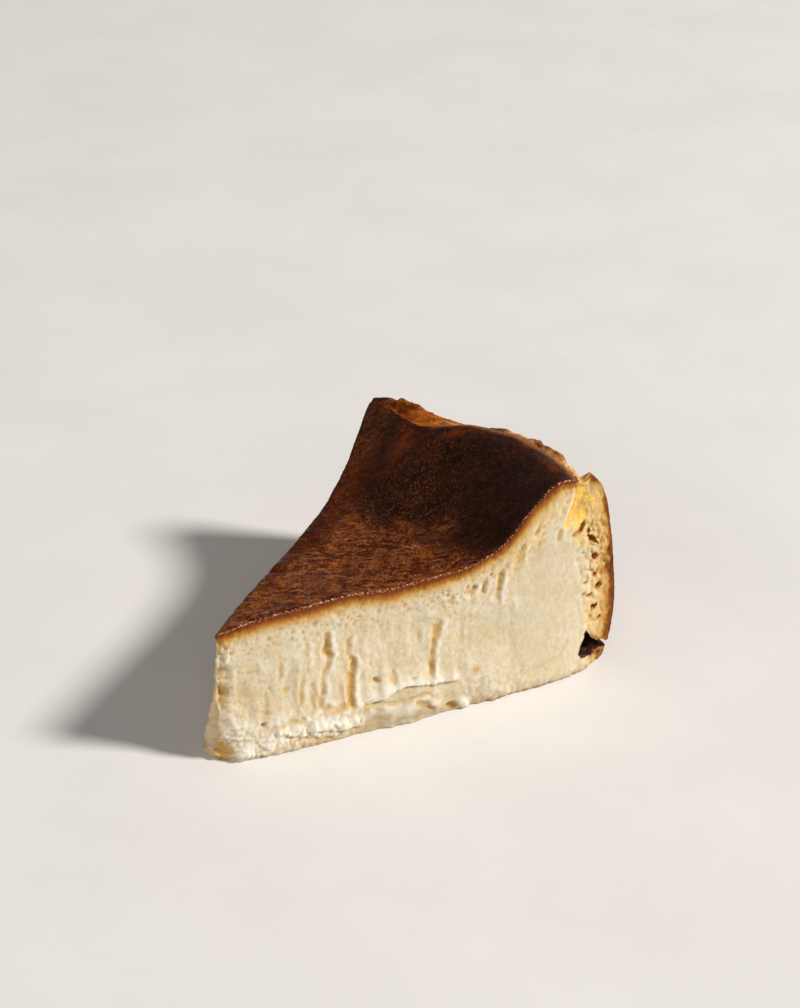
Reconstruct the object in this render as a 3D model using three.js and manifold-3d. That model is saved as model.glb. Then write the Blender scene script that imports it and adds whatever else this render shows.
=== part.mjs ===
import * as THREE from "three";
import Module from "manifold-3d";

// One slice of burnt basque cheesecake, an eighth of a round cake, in millimetres.
// The pointed end looks along -X, the browned outer wall along +X, +Z is up and
// z = 0 is the flat underside. The "near" cut faces -Y and the "far" cut faces +Y.
// Shapes are first worked out about the cake's own axis, with the wedge's point on
// it, and the finished solid is then moved so that its base is centred on x = y = 0.

// ---- Driving dimensions ----
const WEDGE_ANGLE = 45; // degrees, one eighth of the cake
const WALL_RADIUS = 117; // widest part of the outer wall, from the cake's axis
const POINT_RADIUS = 1; // how far the top skin stops short of the cake's axis
const CENTRE_HEIGHT = 36.9; // top skin at the point of the wedge
const NEAR_CREST_RADIUS = 104; // dark swelling of the top skin at the near cut
const NEAR_CREST_HEIGHT = 57.9;
const FAR_CREST_RADIUS = 113.5; // the same swelling at the far cut
const FAR_CREST_HEIGHT = 49.9;
const FOOT_SPREAD = 7; // how far the soft custard leans out of the cut plane at its foot
const FOOT_POWER = 1.9; // how quickly that lean dies away with height
const LIP_RAGGED = 0.9; // unevenness of the torn outer lip
const PLEAT_DEPTH = 1.7; // creases the baking paper left in the outer wall
const NOTCH_DEPTH = 9; // paper fold pressed into the bottom outer corner

// ---- Mesh density ----
const RISE_COLUMNS = 50; // along a cut, from the point to the crest
const RIM_COLUMNS = 9; // along a cut, from the crest to the wall
const WALL_COLUMNS = 34; // round the outer wall, from cut to cut
const POINT_COLUMNS = 4; // across the blunt point
const ROWS = 23; // up a cut face or the wall
const TOP_STEP = 2.5; // across the top skin

const HALF = (WEDGE_ANGLE / 2) * (Math.PI / 180);
const NEAR_OUT = [-Math.sin(HALF), -Math.cos(HALF)];
const FAR_OUT = [-Math.sin(HALF), Math.cos(HALF)];

// ---- Helpers ----
const clamp = (x, lo = 0, hi = 1) => Math.min(hi, Math.max(lo, x));
const mix = (a, b, k) => a + (b - a) * k;
const ease = (x) => {
  const k = clamp(x);
  return k * k * (3 - 2 * k);
};
const bump = (x, width) => Math.exp(-((x / width) ** 2));

// A smooth curve through [x, y] pairs that never overshoots them.
function curve(pairs) {
  const n = pairs.length;
  const rate = [];
  for (let i = 0; i < n - 1; i++) {
    rate.push((pairs[i + 1][1] - pairs[i][1]) / (pairs[i + 1][0] - pairs[i][0]));
  }
  const slope = pairs.map((_, i) => {
    if (i === 0) return rate[0];
    if (i === n - 1) return rate[n - 2];
    const product = rate[i - 1] * rate[i];
    return product <= 0 ? 0 : (2 * product) / (rate[i - 1] + rate[i]);
  });
  return (x) => {
    if (x <= pairs[0][0]) return pairs[0][1];
    if (x >= pairs[n - 1][0]) return pairs[n - 1][1];
    let i = 0;
    while (x > pairs[i + 1][0]) i++;
    const h = pairs[i + 1][0] - pairs[i][0];
    const k = (x - pairs[i][0]) / h;
    const a = (1 + 2 * k) * (1 - k) * (1 - k) * pairs[i][1];
    const b = k * (1 - k) * (1 - k) * h * slope[i];
    const c = k * k * (3 - 2 * k) * pairs[i + 1][1];
    const d = k * k * (k - 1) * h * slope[i + 1];
    return a + b + c + d;
  };
}

// Repeatable number from -1 to 1 for a cell of a grid.
function cell(i, j, seed) {
  let h = Math.imul(i, 374761393) + Math.imul(j, 668265263) + Math.imul(seed, 2246822519);
  h = Math.imul(h ^ (h >>> 13), 1274126177);
  h ^= h >>> 16;
  return (h >>> 0) / 2147483648 - 1;
}

// Smooth noise from -1 to 1 over a plane.
function noise(x, y, seed) {
  const i = Math.floor(x);
  const j = Math.floor(y);
  const a = ease(x - i);
  const b = ease(y - j);
  const low = mix(cell(i, j, seed), cell(i + 1, j, seed), a);
  const high = mix(cell(i, j + 1, seed), cell(i + 1, j + 1, seed), a);
  return mix(low, high, b);
}

// ---- The top: t runs from -1 at the near cut to +1 at the far cut ----
const crestRadius = curve([
  [-1, NEAR_CREST_RADIUS],
  [-0.72, 105.7],
  [-0.2, 107.7],
  [0.1, 107.5],
  [0.42, 103.5],
  [0.6, 104.5],
  [0.85, 111],
  [1, FAR_CREST_RADIUS],
]);
const crestHeight = curve([
  [-1, NEAR_CREST_HEIGHT],
  [-0.45, 56.8],
  [0, 55.1],
  [0.28, 53.6],
  [0.5, 51.2],
  [0.75, 50.4],
  [1, FAR_CREST_HEIGHT],
]);
const lipRadius = curve([
  [-1, 108.6],
  [-0.3, 110.3],
  [0.3, 111.6],
  [0.8, 115],
  [1, 116.4],
]);
const lipHeight = curve([
  [-1, 58.3],
  [-0.94, 57.8],
  [-0.86, 53.4],
  [-0.75, 54.6],
  [-0.66, 56],
  [-0.4, 55.8],
  [0, 54],
  [0.25, 51.2],
  [0.55, 51.5],
  [0.8, 51.4],
  [1, 49.9],
]);
const nearFlat = curve([
  [0, CENTRE_HEIGHT],
  [8, 38.1],
  [17, 38.8],
  [36, 39.2],
  [52, 38.2],
  [62, 38.4],
]);
const farFlat = curve([
  [0, CENTRE_HEIGHT],
  [10, 37.3],
  [21, 37],
  [40, 35.9],
  [61, 34.6],
  [78, 33.8],
]);
const nearRise = curve([
  [0.58, 0],
  [0.64, 0.005],
  [0.681, 0.03],
  [0.723, 0.087],
  [0.751, 0.144],
  [0.782, 0.226],
  [0.824, 0.43],
  [0.863, 0.656],
  [0.893, 0.805],
  [0.93, 0.965],
  [0.959, 1.02],
  [1, 1],
]);
const farRise = curve([
  [0.52, 0],
  [0.68, 0.08],
  [0.815, 0.31],
  [0.913, 0.69],
  [0.985, 0.98],
  [1, 1],
]);

// Radius at which the top turns down into the outer wall.
const shoulderRadius = (t) => lipRadius(t) + 1.7 + 0.5 * noise(t * 19, 0.5, 3);

function topHeight(s, t) {
  const k = ease((t + 1) / 2);
  const crest = crestRadius(t);
  if (s <= crest) {
    const flat = mix(nearFlat(s), farFlat(s), k);
    const rise = mix(nearRise(s / crest), farRise(s / crest), k);
    const ripple = 0.3 * noise(s / 9, t * s * 0.06, 5) * ease(s / 12) * (1 - rise);
    return mix(flat, crestHeight(t), rise) + ripple;
  }
  // Outside the crest the skin is torn: a shallow moist trough, then the ragged lip.
  const lip = lipRadius(t);
  const shoulder = shoulderRadius(t);
  const ragged = LIP_RAGGED * noise(t * 13, 0.5, 7) * (1 - bump(t - 1, 0.1));
  const lipTop = lipHeight(t) + ragged;
  const trough = Math.min(crestHeight(t), lipTop) - 1.2 * (1 - ease((t - 0.75) / 0.2));
  const k1 = (s - crest) / (lip - crest);
  if (k1 <= 0.42) return mix(crestHeight(t), trough, ease(k1 / 0.42));
  if (k1 <= 1) return mix(trough, lipTop, ease((k1 - 0.42) / 0.58));
  return lipTop - 1.5 * ((s - lip) / (shoulder - lip)) ** 1.5;
}

// ---- The outer wall ----
const wallProfile = curve([
  [0, WALL_RADIUS - 4.6],
  [2.5, WALL_RADIUS - 3.1],
  [8.6, WALL_RADIUS - 1.1],
  [18.6, WALL_RADIUS],
  [32.5, WALL_RADIUS - 1],
  [47.3, WALL_RADIUS - 3],
  [53, WALL_RADIUS - 4.6],
  [56.9, WALL_RADIUS - 6.9],
]);
// Paper creases: where they are round the wall, how they lean, how strong they are.
const PLEATS = [
  [-0.66, 0.05, 0.8],
  [-0.34, -0.04, 1],
  [-0.05, 0.03, 0.7],
  [0.22, -0.06, 1],
  [0.47, 0.05, 0.8],
  [0.74, -0.03, 0.9],
];

function wallRadius(z, t, top) {
  const shoulder = shoulderRadius(t);
  const climb = clamp(z / top);
  let r = wallProfile(z) + (shoulder - wallProfile(top)) * climb ** 1.5;
  for (const [at, lean, strength] of PLEATS) {
    const off = t - at - lean * climb;
    const depth = PLEAT_DEPTH * strength * (0.35 + 0.65 * climb);
    r -= depth * bump(off, 0.03) - 0.45 * depth * bump(off - 0.055, 0.035);
  }
  return r + 0.5 * noise(t * 9, z / 12, 11) * ease((1 - Math.abs(t)) / 0.1) * ease(z / 4);
}

// ---- The cut faces ----
const nearSpread = curve([
  [0, 0.2],
  [6, 0.7],
  [13, 0.87],
  [24, 0.96],
  [39, 1],
  [54, 1.08],
  [63, 0.96],
  [80, 1.02],
  [96, 0.94],
  [102, 0.78],
  [108, 0.5],
  [112, 0.22],
  [118, 0.05],
]);
const farSpread = curve([
  [0, 0.88],
  [12, 0.75],
  [40, 0.62],
  [95, 0.58],
  [108, 0.35],
  [117, 0.08],
]);
// Tears the knife dragged down the near cut: a line along and up, half width, depth.
const GROOVES = [
  [[[30.9, 29.4], [31.3, 24.5], [29.6, 19.3], [27.4, 10.6]], 1.3, 1.1],
  [[[37.1, 25], [37.9, 19.6], [36.3, 14.6], [35.6, 9]], 1.5, 1.5],
  [[[62.5, 24.4], [62.2, 21], [60.5, 18], [59.6, 11.2]], 1.5, 1.2],
];
// Layers smeared over each other low on the near cut. Each stands proud above its
// lower edge and drops back below it: the edge, where it starts and ends, how proud.
const LEDGES = [
  [curve([[41, 8.9], [53.4, 9.4], [59.1, 7.9], [72, 7.2]]), 41, 74, 1.0],
  [curve([[36, 8.4], [45.8, 7], [53.6, 4.9], [61, 4]]), 36, 62, 1.1],
  [curve([[14, 6], [20.7, 3.9], [31, 1.6]]), 13, 34, 0.9],
];
// Lumps and scoops of the near cut: along, up, radius, how proud.
const LUMPS = [
  [2.4, 3.6, 2.6, -1.1],
  [7.5, 2, 2.4, 0.8],
  [4.8, 8.2, 2.6, 0.7],
  [0, 31, 3.2, 0.9],
  [68.4, 1.9, 2.1, 1.5],
  [64.4, 1.4, 1.9, -1.1],
];

// Distance from a point to a broken line.
function lineDistance(s, z, line) {
  let best = Infinity;
  for (let n = 0; n < line.length - 1; n++) {
    const [s0, z0] = line[n];
    const [s1, z1] = line[n + 1];
    const length2 = (s1 - s0) ** 2 + (z1 - z0) ** 2;
    const k = clamp(((s - s0) * (s1 - s0) + (z - z0) * (z1 - z0)) / length2);
    best = Math.min(best, Math.hypot(s - mix(s0, s1, k), z - mix(z0, z1, k)));
  }
  return best;
}

function nearRelief(s, z, top) {
  let out = 0.45 * noise(s / 7, z / 9, 21) + 0.25 * noise(s / 3.3, z / 12, 22) * ease((70 - s) / 12);
  const calm = ease((s - 80) / 8) * ease((106 - s) / 4) * ease((46 - z) / 6);
  out *= 1 - 0.85 * calm;
  for (const [line, width, depth] of GROOVES) {
    out -= depth * bump(lineDistance(s, z, line), width);
  }
  for (const [edge, start, end, proud] of LEDGES) {
    const along = ease((s - start) / 4) * ease((end - s) / 5);
    const above = z - edge(s);
    out += proud * along * (above > 0 ? bump(above, 3) : bump(above, 0.7));
  }
  for (const [at, up, radius, proud] of LUMPS) {
    out += proud * bump(Math.hypot(s - at, z - up), radius);
  }
  return out * ease((top - z) / 3);
}

function farRelief(s, z, top) {
  const drag = 0.5 * noise(s / 3.1, z / 14, 31) * ease((z - 3) / 5);
  const lump = 0.5 * noise(s / 8, z / 8, 32);
  return (drag + lump) * ease((top - z) / 3);
}

const lean = (z, top) => (1 - clamp(z / top)) ** FOOT_POWER;
const tuck = (z) => 0.7 * clamp(1 - z / 1.6) ** 2;

// A point of a side face: s along the cut, t across, climb from 0 at the foot to 1.
function sidePoint(top0, t, climb) {
  const top = topHeight(top0, t);
  const z = top * climb;
  const shoulder = shoulderRadius(t);
  const share = clamp((top0 - 84) / (shoulder - 84));
  const s = top0 + share * (wallRadius(z, t, top) - shoulder);
  const a = t * HALF;
  const power = 2 + 0.3 * s;
  const nearShare = ((1 - t) / 2) ** power;
  const farShare = ((1 + t) / 2) ** power;
  const edge = ease((shoulder + 4 - s) / 8);
  const slump = FOOT_SPREAD * lean(z, top);
  const near = slump * nearSpread(s) - tuck(z) + nearRelief(s, z, top) * edge;
  const far = slump * farSpread(s) - tuck(z) + farRelief(s, z, top) * edge;
  const blunt = 2.6 * lean(z, top) * (1 - Math.max(0, t) ** 2) * clamp(1 - (s - POINT_RADIUS) / 7) ** 2;
  const x = s * Math.cos(a) + NEAR_OUT[0] * near * nearShare + FAR_OUT[0] * far * farShare - blunt;
  const y = s * Math.sin(a) + NEAR_OUT[1] * near * nearShare + FAR_OUT[1] * far * farShare;
  return [x, y, z];
}

// Distance along the top of column i at t: columns bunch up between crest and wall.
function columnRadius(i, t) {
  const crest = crestRadius(t);
  if (i <= RISE_COLUMNS) return mix(POINT_RADIUS, crest, i / RISE_COLUMNS);
  return mix(crest, shoulderRadius(t), (i - RISE_COLUMNS) / RIM_COLUMNS);
}

// ---- The body: rings of points round the sides, a zipped top and a flat base ----
function sliceMesh() {
  const columns = RISE_COLUMNS + RIM_COLUMNS;
  const around = [];
  for (let i = 0; i < columns; i++) around.push([i, -1]);
  for (let j = 0; j < WALL_COLUMNS; j++) around.push([columns, -1 + (2 * j) / WALL_COLUMNS]);
  for (let i = columns; i > 0; i--) around.push([i, 1]);
  for (let j = 0; j < POINT_COLUMNS; j++) around.push([0, 1 - (2 * j) / POINT_COLUMNS]);

  const points = [];
  const faces = [];
  const count = around.length;
  for (let row = 0; row <= ROWS; row++) {
    // rows crowd a little towards the foot, where the custard is roughest
    const climb = (row / ROWS) ** 1.12;
    for (const [i, t] of around) points.push(sidePoint(columnRadius(i, t), t, climb));
  }
  for (let row = 0; row < ROWS; row++) {
    for (let k = 0; k < count; k++) {
      const a = row * count + k;
      const b = row * count + ((k + 1) % count);
      faces.push([a, b, b + count], [a, b + count, a + count]);
    }
  }

  // Flat underside, filled from its outline.
  const outline = points.slice(0, count).map((p) => new THREE.Vector2(p[0], p[1]));
  for (const [a, b, c] of THREE.ShapeUtils.triangulateShape(outline, [])) faces.push([a, c, b]);

  // Top skin: one strip of points across for each column, wider strips holding more.
  const topRing = (k) => ROWS * count + (k % count);
  const strips = [];
  for (let i = 0; i <= columns; i++) {
    let strip;
    if (i === 0) {
      strip = [];
      for (let j = 0; j <= POINT_COLUMNS; j++) strip.push(topRing(count - j));
    } else if (i === columns) {
      strip = [];
      for (let j = 0; j <= WALL_COLUMNS; j++) strip.push(topRing(columns + j));
    } else {
      const width = 2 * HALF * columnRadius(i, 0);
      const parts = Math.max(2, Math.round(width / TOP_STEP));
      strip = [topRing(i)];
      for (let j = 1; j < parts; j++) {
        const t = -1 + (2 * j) / parts;
        const s = columnRadius(i, t);
        const a = t * HALF;
        points.push([s * Math.cos(a), s * Math.sin(a), topHeight(s, t)]);
        strip.push(points.length - 1);
      }
      strip.push(topRing(2 * columns + WALL_COLUMNS - i));
    }
    strips.push(strip);
  }
  for (let i = 0; i < columns; i++) {
    const inner = strips[i];
    const outer = strips[i + 1];
    let a = 0;
    let b = 0;
    while (a < inner.length - 1 || b < outer.length - 1) {
      const nextA = (a + 1) / (inner.length - 1);
      const nextB = (b + 1) / (outer.length - 1);
      if (b < outer.length - 1 && (a === inner.length - 1 || nextB <= nextA)) {
        faces.push([inner[a], outer[b], outer[b + 1]]);
        b++;
      } else {
        faces.push([inner[a], outer[b], inner[a + 1]]);
        a++;
      }
    }
  }
  return { points, faces };
}

// ---- Cuts ----
// A loft between outlines of equal length that run anticlockwise, closed at both ends.
function loftMesh(loops) {
  const points = loops.flat();
  const n = loops[0].length;
  const faces = [];
  for (let l = 0; l < loops.length - 1; l++) {
    for (let k = 0; k < n; k++) {
      const a = l * n + k;
      const b = l * n + ((k + 1) % n);
      faces.push([a, b + n, b], [a, a + n, b + n]);
    }
  }
  const flat = loops[0].map((p) => p.outline);
  const last = (loops.length - 1) * n;
  for (const [a, b, c] of THREE.ShapeUtils.triangulateShape(flat, [])) {
    faces.push([a, b, c], [last + a, last + c, last + b]);
  }
  return { points: points.map((p) => p.place), faces };
}

// A point given on the near cut: along, up, and how deep behind the cut plane.
const behindNear = (s, z, depth) => [
  s * Math.cos(HALF) - NEAR_OUT[0] * depth,
  -s * Math.sin(HALF) - NEAR_OUT[1] * depth,
  z,
];

// An opening drawn on the near cut that shrinks towards `heart` as it goes in.
function openingMesh(outline, heart, depth, shrink, sweep = 0) {
  const loops = [
    [-9, 1],
    [0, 1],
    [depth * 0.6, mix(1, shrink, 0.45)],
    [depth, shrink],
  ].map(([inward, size]) =>
    outline.map(([s, z]) => {
      const s1 = heart[0] + (s - heart[0]) * size;
      const z1 = heart[1] + (z - heart[1]) * size;
      const place = behindNear(s1 + sweep * Math.max(0, inward), z1, inward);
      return { place, outline: new THREE.Vector2(s, z) };
    }),
  );
  return loftMesh(loops);
}

// The dark notch a folded pleat of paper left at the foot of the wall.
const NOTCH_HEART = [112, 5.2];
const NOTCH_OUTLINE = [
  [104, 5.6],
  [105, 4.1],
  [108.9, 3.4],
  [112.5, 3.9],
  [121, 4.2],
  [121, 5.6],
  [114.6, 5.8],
  [111.3, 6.8],
  [109.4, 8.3],
  [107.4, 11.4],
  [105.6, 8.4],
];

// Crease that runs down the near cut from the torn edge of the top skin.
const CREASE_OUTLINE = [
  [101.2, 44.4],
  [102.6, 46.6],
  [104.3, 52],
  [105.6, 60],
  [104.2, 60],
  [103.4, 52.2],
  [101.8, 47],
];

// Larger holes of the crumbly zone behind the crust: along, up, width, height, turn.
const HOLES = [
  [106.1, 43.3, 3.8, 1.5, 0.75],
  [109.4, 38.8, 3.6, 1.4, -0.75],
  [108.1, 41.4, 1.9, 1.4, 0.7],
  [109.9, 33.4, 2, 2.4, 0.2],
  [110.6, 27.6, 1.7, 1.2, 0.4],
  [111.4, 23.7, 2.6, 1.4, 0.3],
  [108.3, 21.9, 1.5, 1.1, 0.2],
  [110.4, 18.2, 2.8, 1.7, 0.5],
  [111.9, 13.9, 1.6, 1.5, -0.3],
];

function holeMesh([s, z, width, height, turn], index) {
  const outline = [];
  const corners = 7;
  for (let k = 0; k < corners; k++) {
    const a = (2 * Math.PI * k) / corners;
    const wobble = 1 + 0.25 * cell(index, k, 41);
    const u = (width / 2) * wobble * Math.cos(a);
    const v = (height / 2) * wobble * Math.sin(a);
    const along = s + u * Math.cos(turn) - v * Math.sin(turn);
    const up = z + u * Math.sin(turn) + v * Math.cos(turn);
    outline.push([along, up]);
  }
  return openingMesh(outline, [s, z], 2.4, 0.35);
}

// ---- Assembly ----
const wasm = await Module();
wasm.setup();

function solidFrom({ points, faces }) {
  const mesh = new wasm.Mesh({
    numProp: 3,
    vertProperties: new Float32Array(points.flat()),
    triVerts: new Uint32Array(faces.flat()),
  });
  const solid = new wasm.Manifold(mesh);
  return solid;
}

let slice = solidFrom(sliceMesh());
slice = slice.subtract(solidFrom(openingMesh(NOTCH_OUTLINE, NOTCH_HEART, NOTCH_DEPTH, 0.3)));
slice = slice.subtract(solidFrom(openingMesh(CREASE_OUTLINE, [103.2, 50], 1.6, 0.4)));
HOLES.forEach((hole, index) => {
  slice = slice.subtract(solidFrom(holeMesh(hole, index)));
});

// The cuts can free crumbs where they graze the surface: only the slice itself is kept.
const largest = (solids) => solids.reduce((a, b) => (a.volume() > b.volume() ? a : b));
slice = largest(slice.decompose());

// Centre the base: the slice is moved along X and Y only.
const box = slice.boundingBox();
const shiftX = -(box.min[0] + box.max[0]) / 2;
const shiftY = -(box.min[1] + box.max[1]) / 2;
const centred = slice.translate([shiftX, shiftY, -box.min[2]]);

const body = centred.getMesh();
const positions = new Float32Array(body.numVert * 3);
for (let i = 0; i < body.numVert; i++) {
  positions.set(body.vertProperties.subarray(i * body.numProp, i * body.numProp + 3), i * 3);
}
const geometry = new THREE.BufferGeometry();
geometry.setAttribute("position", new THREE.BufferAttribute(positions, 3));
geometry.setIndex(new THREE.BufferAttribute(new Uint32Array(body.triVerts), 1));
geometry.computeVertexNormals();

const custard = new THREE.MeshStandardMaterial({ color: 0xe9d5a4, roughness: 0.55 });
const piece = new THREE.Mesh(geometry, custard);
piece.name = "cheesecake_slice";

const group = new THREE.Group();
group.add(piece);
export default group;
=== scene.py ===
"""Looks of the basque cheesecake slice: a finely modelled skin over the CAD solid, a floor, light and a camera.

Shapes are worked out in millimetres about the cake's own axis, with the wedge's point on it, as in the CAD
source, and are moved into the part's frame, in metres, when a mesh is made.
"""

import math

import bmesh
import bpy
import numpy as np
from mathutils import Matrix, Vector
from mathutils.kdtree import KDTree


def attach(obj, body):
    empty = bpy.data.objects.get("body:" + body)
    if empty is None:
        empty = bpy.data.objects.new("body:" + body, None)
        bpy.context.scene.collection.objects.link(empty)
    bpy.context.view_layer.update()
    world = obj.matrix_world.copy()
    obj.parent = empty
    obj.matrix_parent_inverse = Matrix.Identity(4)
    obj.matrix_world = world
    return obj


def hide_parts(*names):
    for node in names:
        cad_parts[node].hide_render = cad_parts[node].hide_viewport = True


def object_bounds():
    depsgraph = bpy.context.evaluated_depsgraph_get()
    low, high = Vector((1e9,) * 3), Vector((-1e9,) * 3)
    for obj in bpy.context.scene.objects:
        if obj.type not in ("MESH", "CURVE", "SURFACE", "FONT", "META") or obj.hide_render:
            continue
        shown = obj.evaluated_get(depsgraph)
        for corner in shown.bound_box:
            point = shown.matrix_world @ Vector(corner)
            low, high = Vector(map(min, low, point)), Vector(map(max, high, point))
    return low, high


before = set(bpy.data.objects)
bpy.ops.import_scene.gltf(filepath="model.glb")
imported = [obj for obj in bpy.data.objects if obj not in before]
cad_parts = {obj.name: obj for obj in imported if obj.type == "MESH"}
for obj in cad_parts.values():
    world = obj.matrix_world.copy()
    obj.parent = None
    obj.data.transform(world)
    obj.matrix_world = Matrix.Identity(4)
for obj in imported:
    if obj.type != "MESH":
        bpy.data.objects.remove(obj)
cad_low, cad_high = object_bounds()

# ---- Driving dimensions, in millimetres, as in the CAD source ----
HALF = math.radians(45 / 2)
WALL_RADIUS = 117.0
POINT_RADIUS = 1.0
CENTRE_HEIGHT = 36.9
FOOT_SPREAD = 7.0
FOOT_POWER = 1.9
PLEAT_DEPTH = 1.7
LEAN_START = 84.0  # from this radius outward the cuts' columns lean with the wall
AXIS_SHIFT = np.array([-57.481, -0.141, 0])  # moves the cake's axis into the part's frame
MM = 0.001

NEAR_OUT = (-math.sin(HALF), -math.cos(HALF))
FAR_OUT = (-math.sin(HALF), math.cos(HALF))

# ---- Mesh density ----
RISE_COLUMNS = 228
RIM_COLUMNS = 26
WALL_COLUMNS = 160
POINT_COLUMNS = 12
LOW_ROWS = 92  # up to just under the skin's edge
EDGE_DEPTHS = [1.45, 1, 0.66, 0.38, 0.16, 0]  # last rows, below the skin's edge
RIND_ROWS = 3  # last rows whose faces belong to the skin
TOP_STEP = 0.62
BASE_STEP = 3.4

TOP_SKIN, WALL_SKIN, CUSTARD, UNDERSIDE = range(4)  # material slots
WRINKLE_TURN = -48  # the way the wrinkles of the top run, in degrees about Z
ON_A_CUT = 0.985  # points this far across, of 1, lie on a cut face
NEAR_SEED, FAR_SEED = 100, 200  # where the random draws of each cut's grain and pores start
OFF_THE_SKIN = 2e-5  # metres from the uncut skin at which a point belongs to an opening
OPENING_SKIN, OPENING_WALL = 9.0, 3.2  # depths below the skin and wall by which an opening is coloured
SHARP = math.radians(75)  # edges that bend more than this stay sharp


# ---- Helpers ----
def mix(a, b, k):
    return a + (b - a) * k


def ease(x, width=1):
    """A smooth climb from 0 to 1 as x goes from 0 to the width."""
    k = np.clip(x / width, 0, 1)
    return k * k * (3 - 2 * k)


def between(x, low, high, rise, fall):
    """1 between two values: it climbs over a distance past the first and drops over one before the second."""
    return ease(x - low, rise) * ease(high - x, fall)


def bump(x, width):
    """1 at 0, and nearly nothing two widths away."""
    return np.exp(-((x / width) ** 2))


def curve(pairs):
    """A smooth curve through [x, y] pairs that never overshoots them."""
    xs = np.array([p[0] for p in pairs], float)
    ys = np.array([p[1] for p in pairs], float)
    rate = np.diff(ys) / np.diff(xs)
    slope = np.empty(len(xs))
    slope[0], slope[-1] = rate[0], rate[-1]
    product = rate[:-1] * rate[1:]
    total = rate[:-1] + rate[1:]
    slope[1:-1] = np.where(product > 0, 2 * product / np.where(total == 0, 1, total), 0)

    def at(x):
        x = np.clip(np.asarray(x, float), xs[0], xs[-1])
        i = np.clip(np.searchsorted(xs, x, side="right") - 1, 0, len(xs) - 2)
        h = xs[i + 1] - xs[i]
        k = (x - xs[i]) / h
        return (
            (1 + 2 * k) * (1 - k) ** 2 * ys[i]
            + k * (1 - k) ** 2 * h * slope[i]
            + k * k * (3 - 2 * k) * ys[i + 1]
            + k * k * (k - 1) * h * slope[i + 1]
        )

    return at


def cell(i, j, seed):
    """Repeatable number from -1 to 1 for a cell of a grid."""
    i = np.asarray(i).astype(np.int64) & 0xFFFFFFFF
    j = np.asarray(j).astype(np.int64) & 0xFFFFFFFF
    h = (i * 374761393 + j * 668265263 + (seed * 2246822519 & 0xFFFFFFFF)) & 0xFFFFFFFF
    h = ((h ^ (h >> 13)) * 1274126177) & 0xFFFFFFFF
    h ^= h >> 16
    return h / 2147483648 - 1


def noise(x, y, seed):
    """Smooth noise from -1 to 1 over a plane."""
    x, y = np.broadcast_arrays(np.asarray(x, float), np.asarray(y, float))
    i, j = np.floor(x), np.floor(y)
    a, b = ease(x - i), ease(y - j)
    low = mix(cell(i, j, seed), cell(i + 1, j, seed), a)
    high = mix(cell(i, j + 1, seed), cell(i + 1, j + 1, seed), a)
    return mix(low, high, b)


def fractal(x, y, seed, octaves=3):
    return sum(0.5**k * noise(x * 2**k + 7.3 * k, y * 2**k - 3.1 * k, seed + k) for k in range(octaves))


def ridges(x, y, seed):
    """Noise folded into sharp crests: -1 in the hollows, 1 on the crests."""
    return 1 - 2 * np.abs(noise(x, y, seed))


def near_cells(x, y, seed, jitter):
    """For a cell of a grid and each one round it: the cell, and how far away its own point is."""
    i, j = np.floor(x), np.floor(y)
    for step in range(9):
        ci, cj = i + step // 3 - 1, j + step % 3 - 1
        px = ci + 0.5 + jitter * cell(ci, cj, seed)
        py = cj + 0.5 + jitter * cell(ci, cj, seed + 1)
        yield ci, cj, x - px, y - py


def spots(x, y, size, seed, share=1, small=0.28, large=0.55):
    """Round spots scattered one to a cell of a grid: 1 in the middle of a spot, 0 outside."""
    x, y = np.broadcast_arrays(np.asarray(x, float) / size, np.asarray(y, float) / size)
    found = np.zeros(x.shape)
    for ci, cj, dx, dy in near_cells(x, y, seed, 0.42):
        radius = mix(small, large, 0.5 + 0.5 * cell(ci, cj, seed + 2))
        wide = 1 + 0.35 * cell(ci, cj, seed + 3)
        there = 0.5 + 0.5 * cell(ci, cj, seed + 4) < share
        d2 = ((dx * wide) ** 2 + (dy / wide) ** 2) / radius**2
        found = np.maximum(found, np.where(there, np.clip(1 - d2, 0, 1), 0))
    return found


def clumps(x, y, size, seed, sharp=0.45):
    """Rounded clumps with narrow clefts between them: 1 in the middle of a clump, 0 in a cleft."""
    x, y = np.broadcast_arrays(np.asarray(x, float) / size, np.asarray(y, float) / size)
    x = x + 0.35 * noise(x * 1.3, y * 1.3, seed + 7)
    y = y + 0.35 * noise(x * 1.3 + 9, y * 1.3, seed + 8)
    first = np.full(x.shape, 9)
    second = first.copy()
    for _, _, dx, dy in near_cells(x, y, seed, 0.45):
        d = np.hypot(dx, dy)
        second = np.minimum(second, np.maximum(first, d))
        first = np.minimum(first, d)
    return ease(second - first, sharp)


def turned(u, v, turn):
    """A point turned about the origin by an angle in radians."""
    return u * math.cos(turn) - v * math.sin(turn), u * math.sin(turn) + v * math.cos(turn)


def distance_to_line(s, z, points):
    """Distance to a broken line."""
    best = 1e9
    for (s0, z0), (s1, z1) in zip(points, points[1:]):
        ds, dz = s1 - s0, z1 - z0
        k = np.clip(((s - s0) * ds + (z - z0) * dz) / (ds * ds + dz * dz), 0, 1)
        best = np.minimum(best, np.hypot(s - s0 - k * ds, z - z0 - k * dz))
    return best


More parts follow.
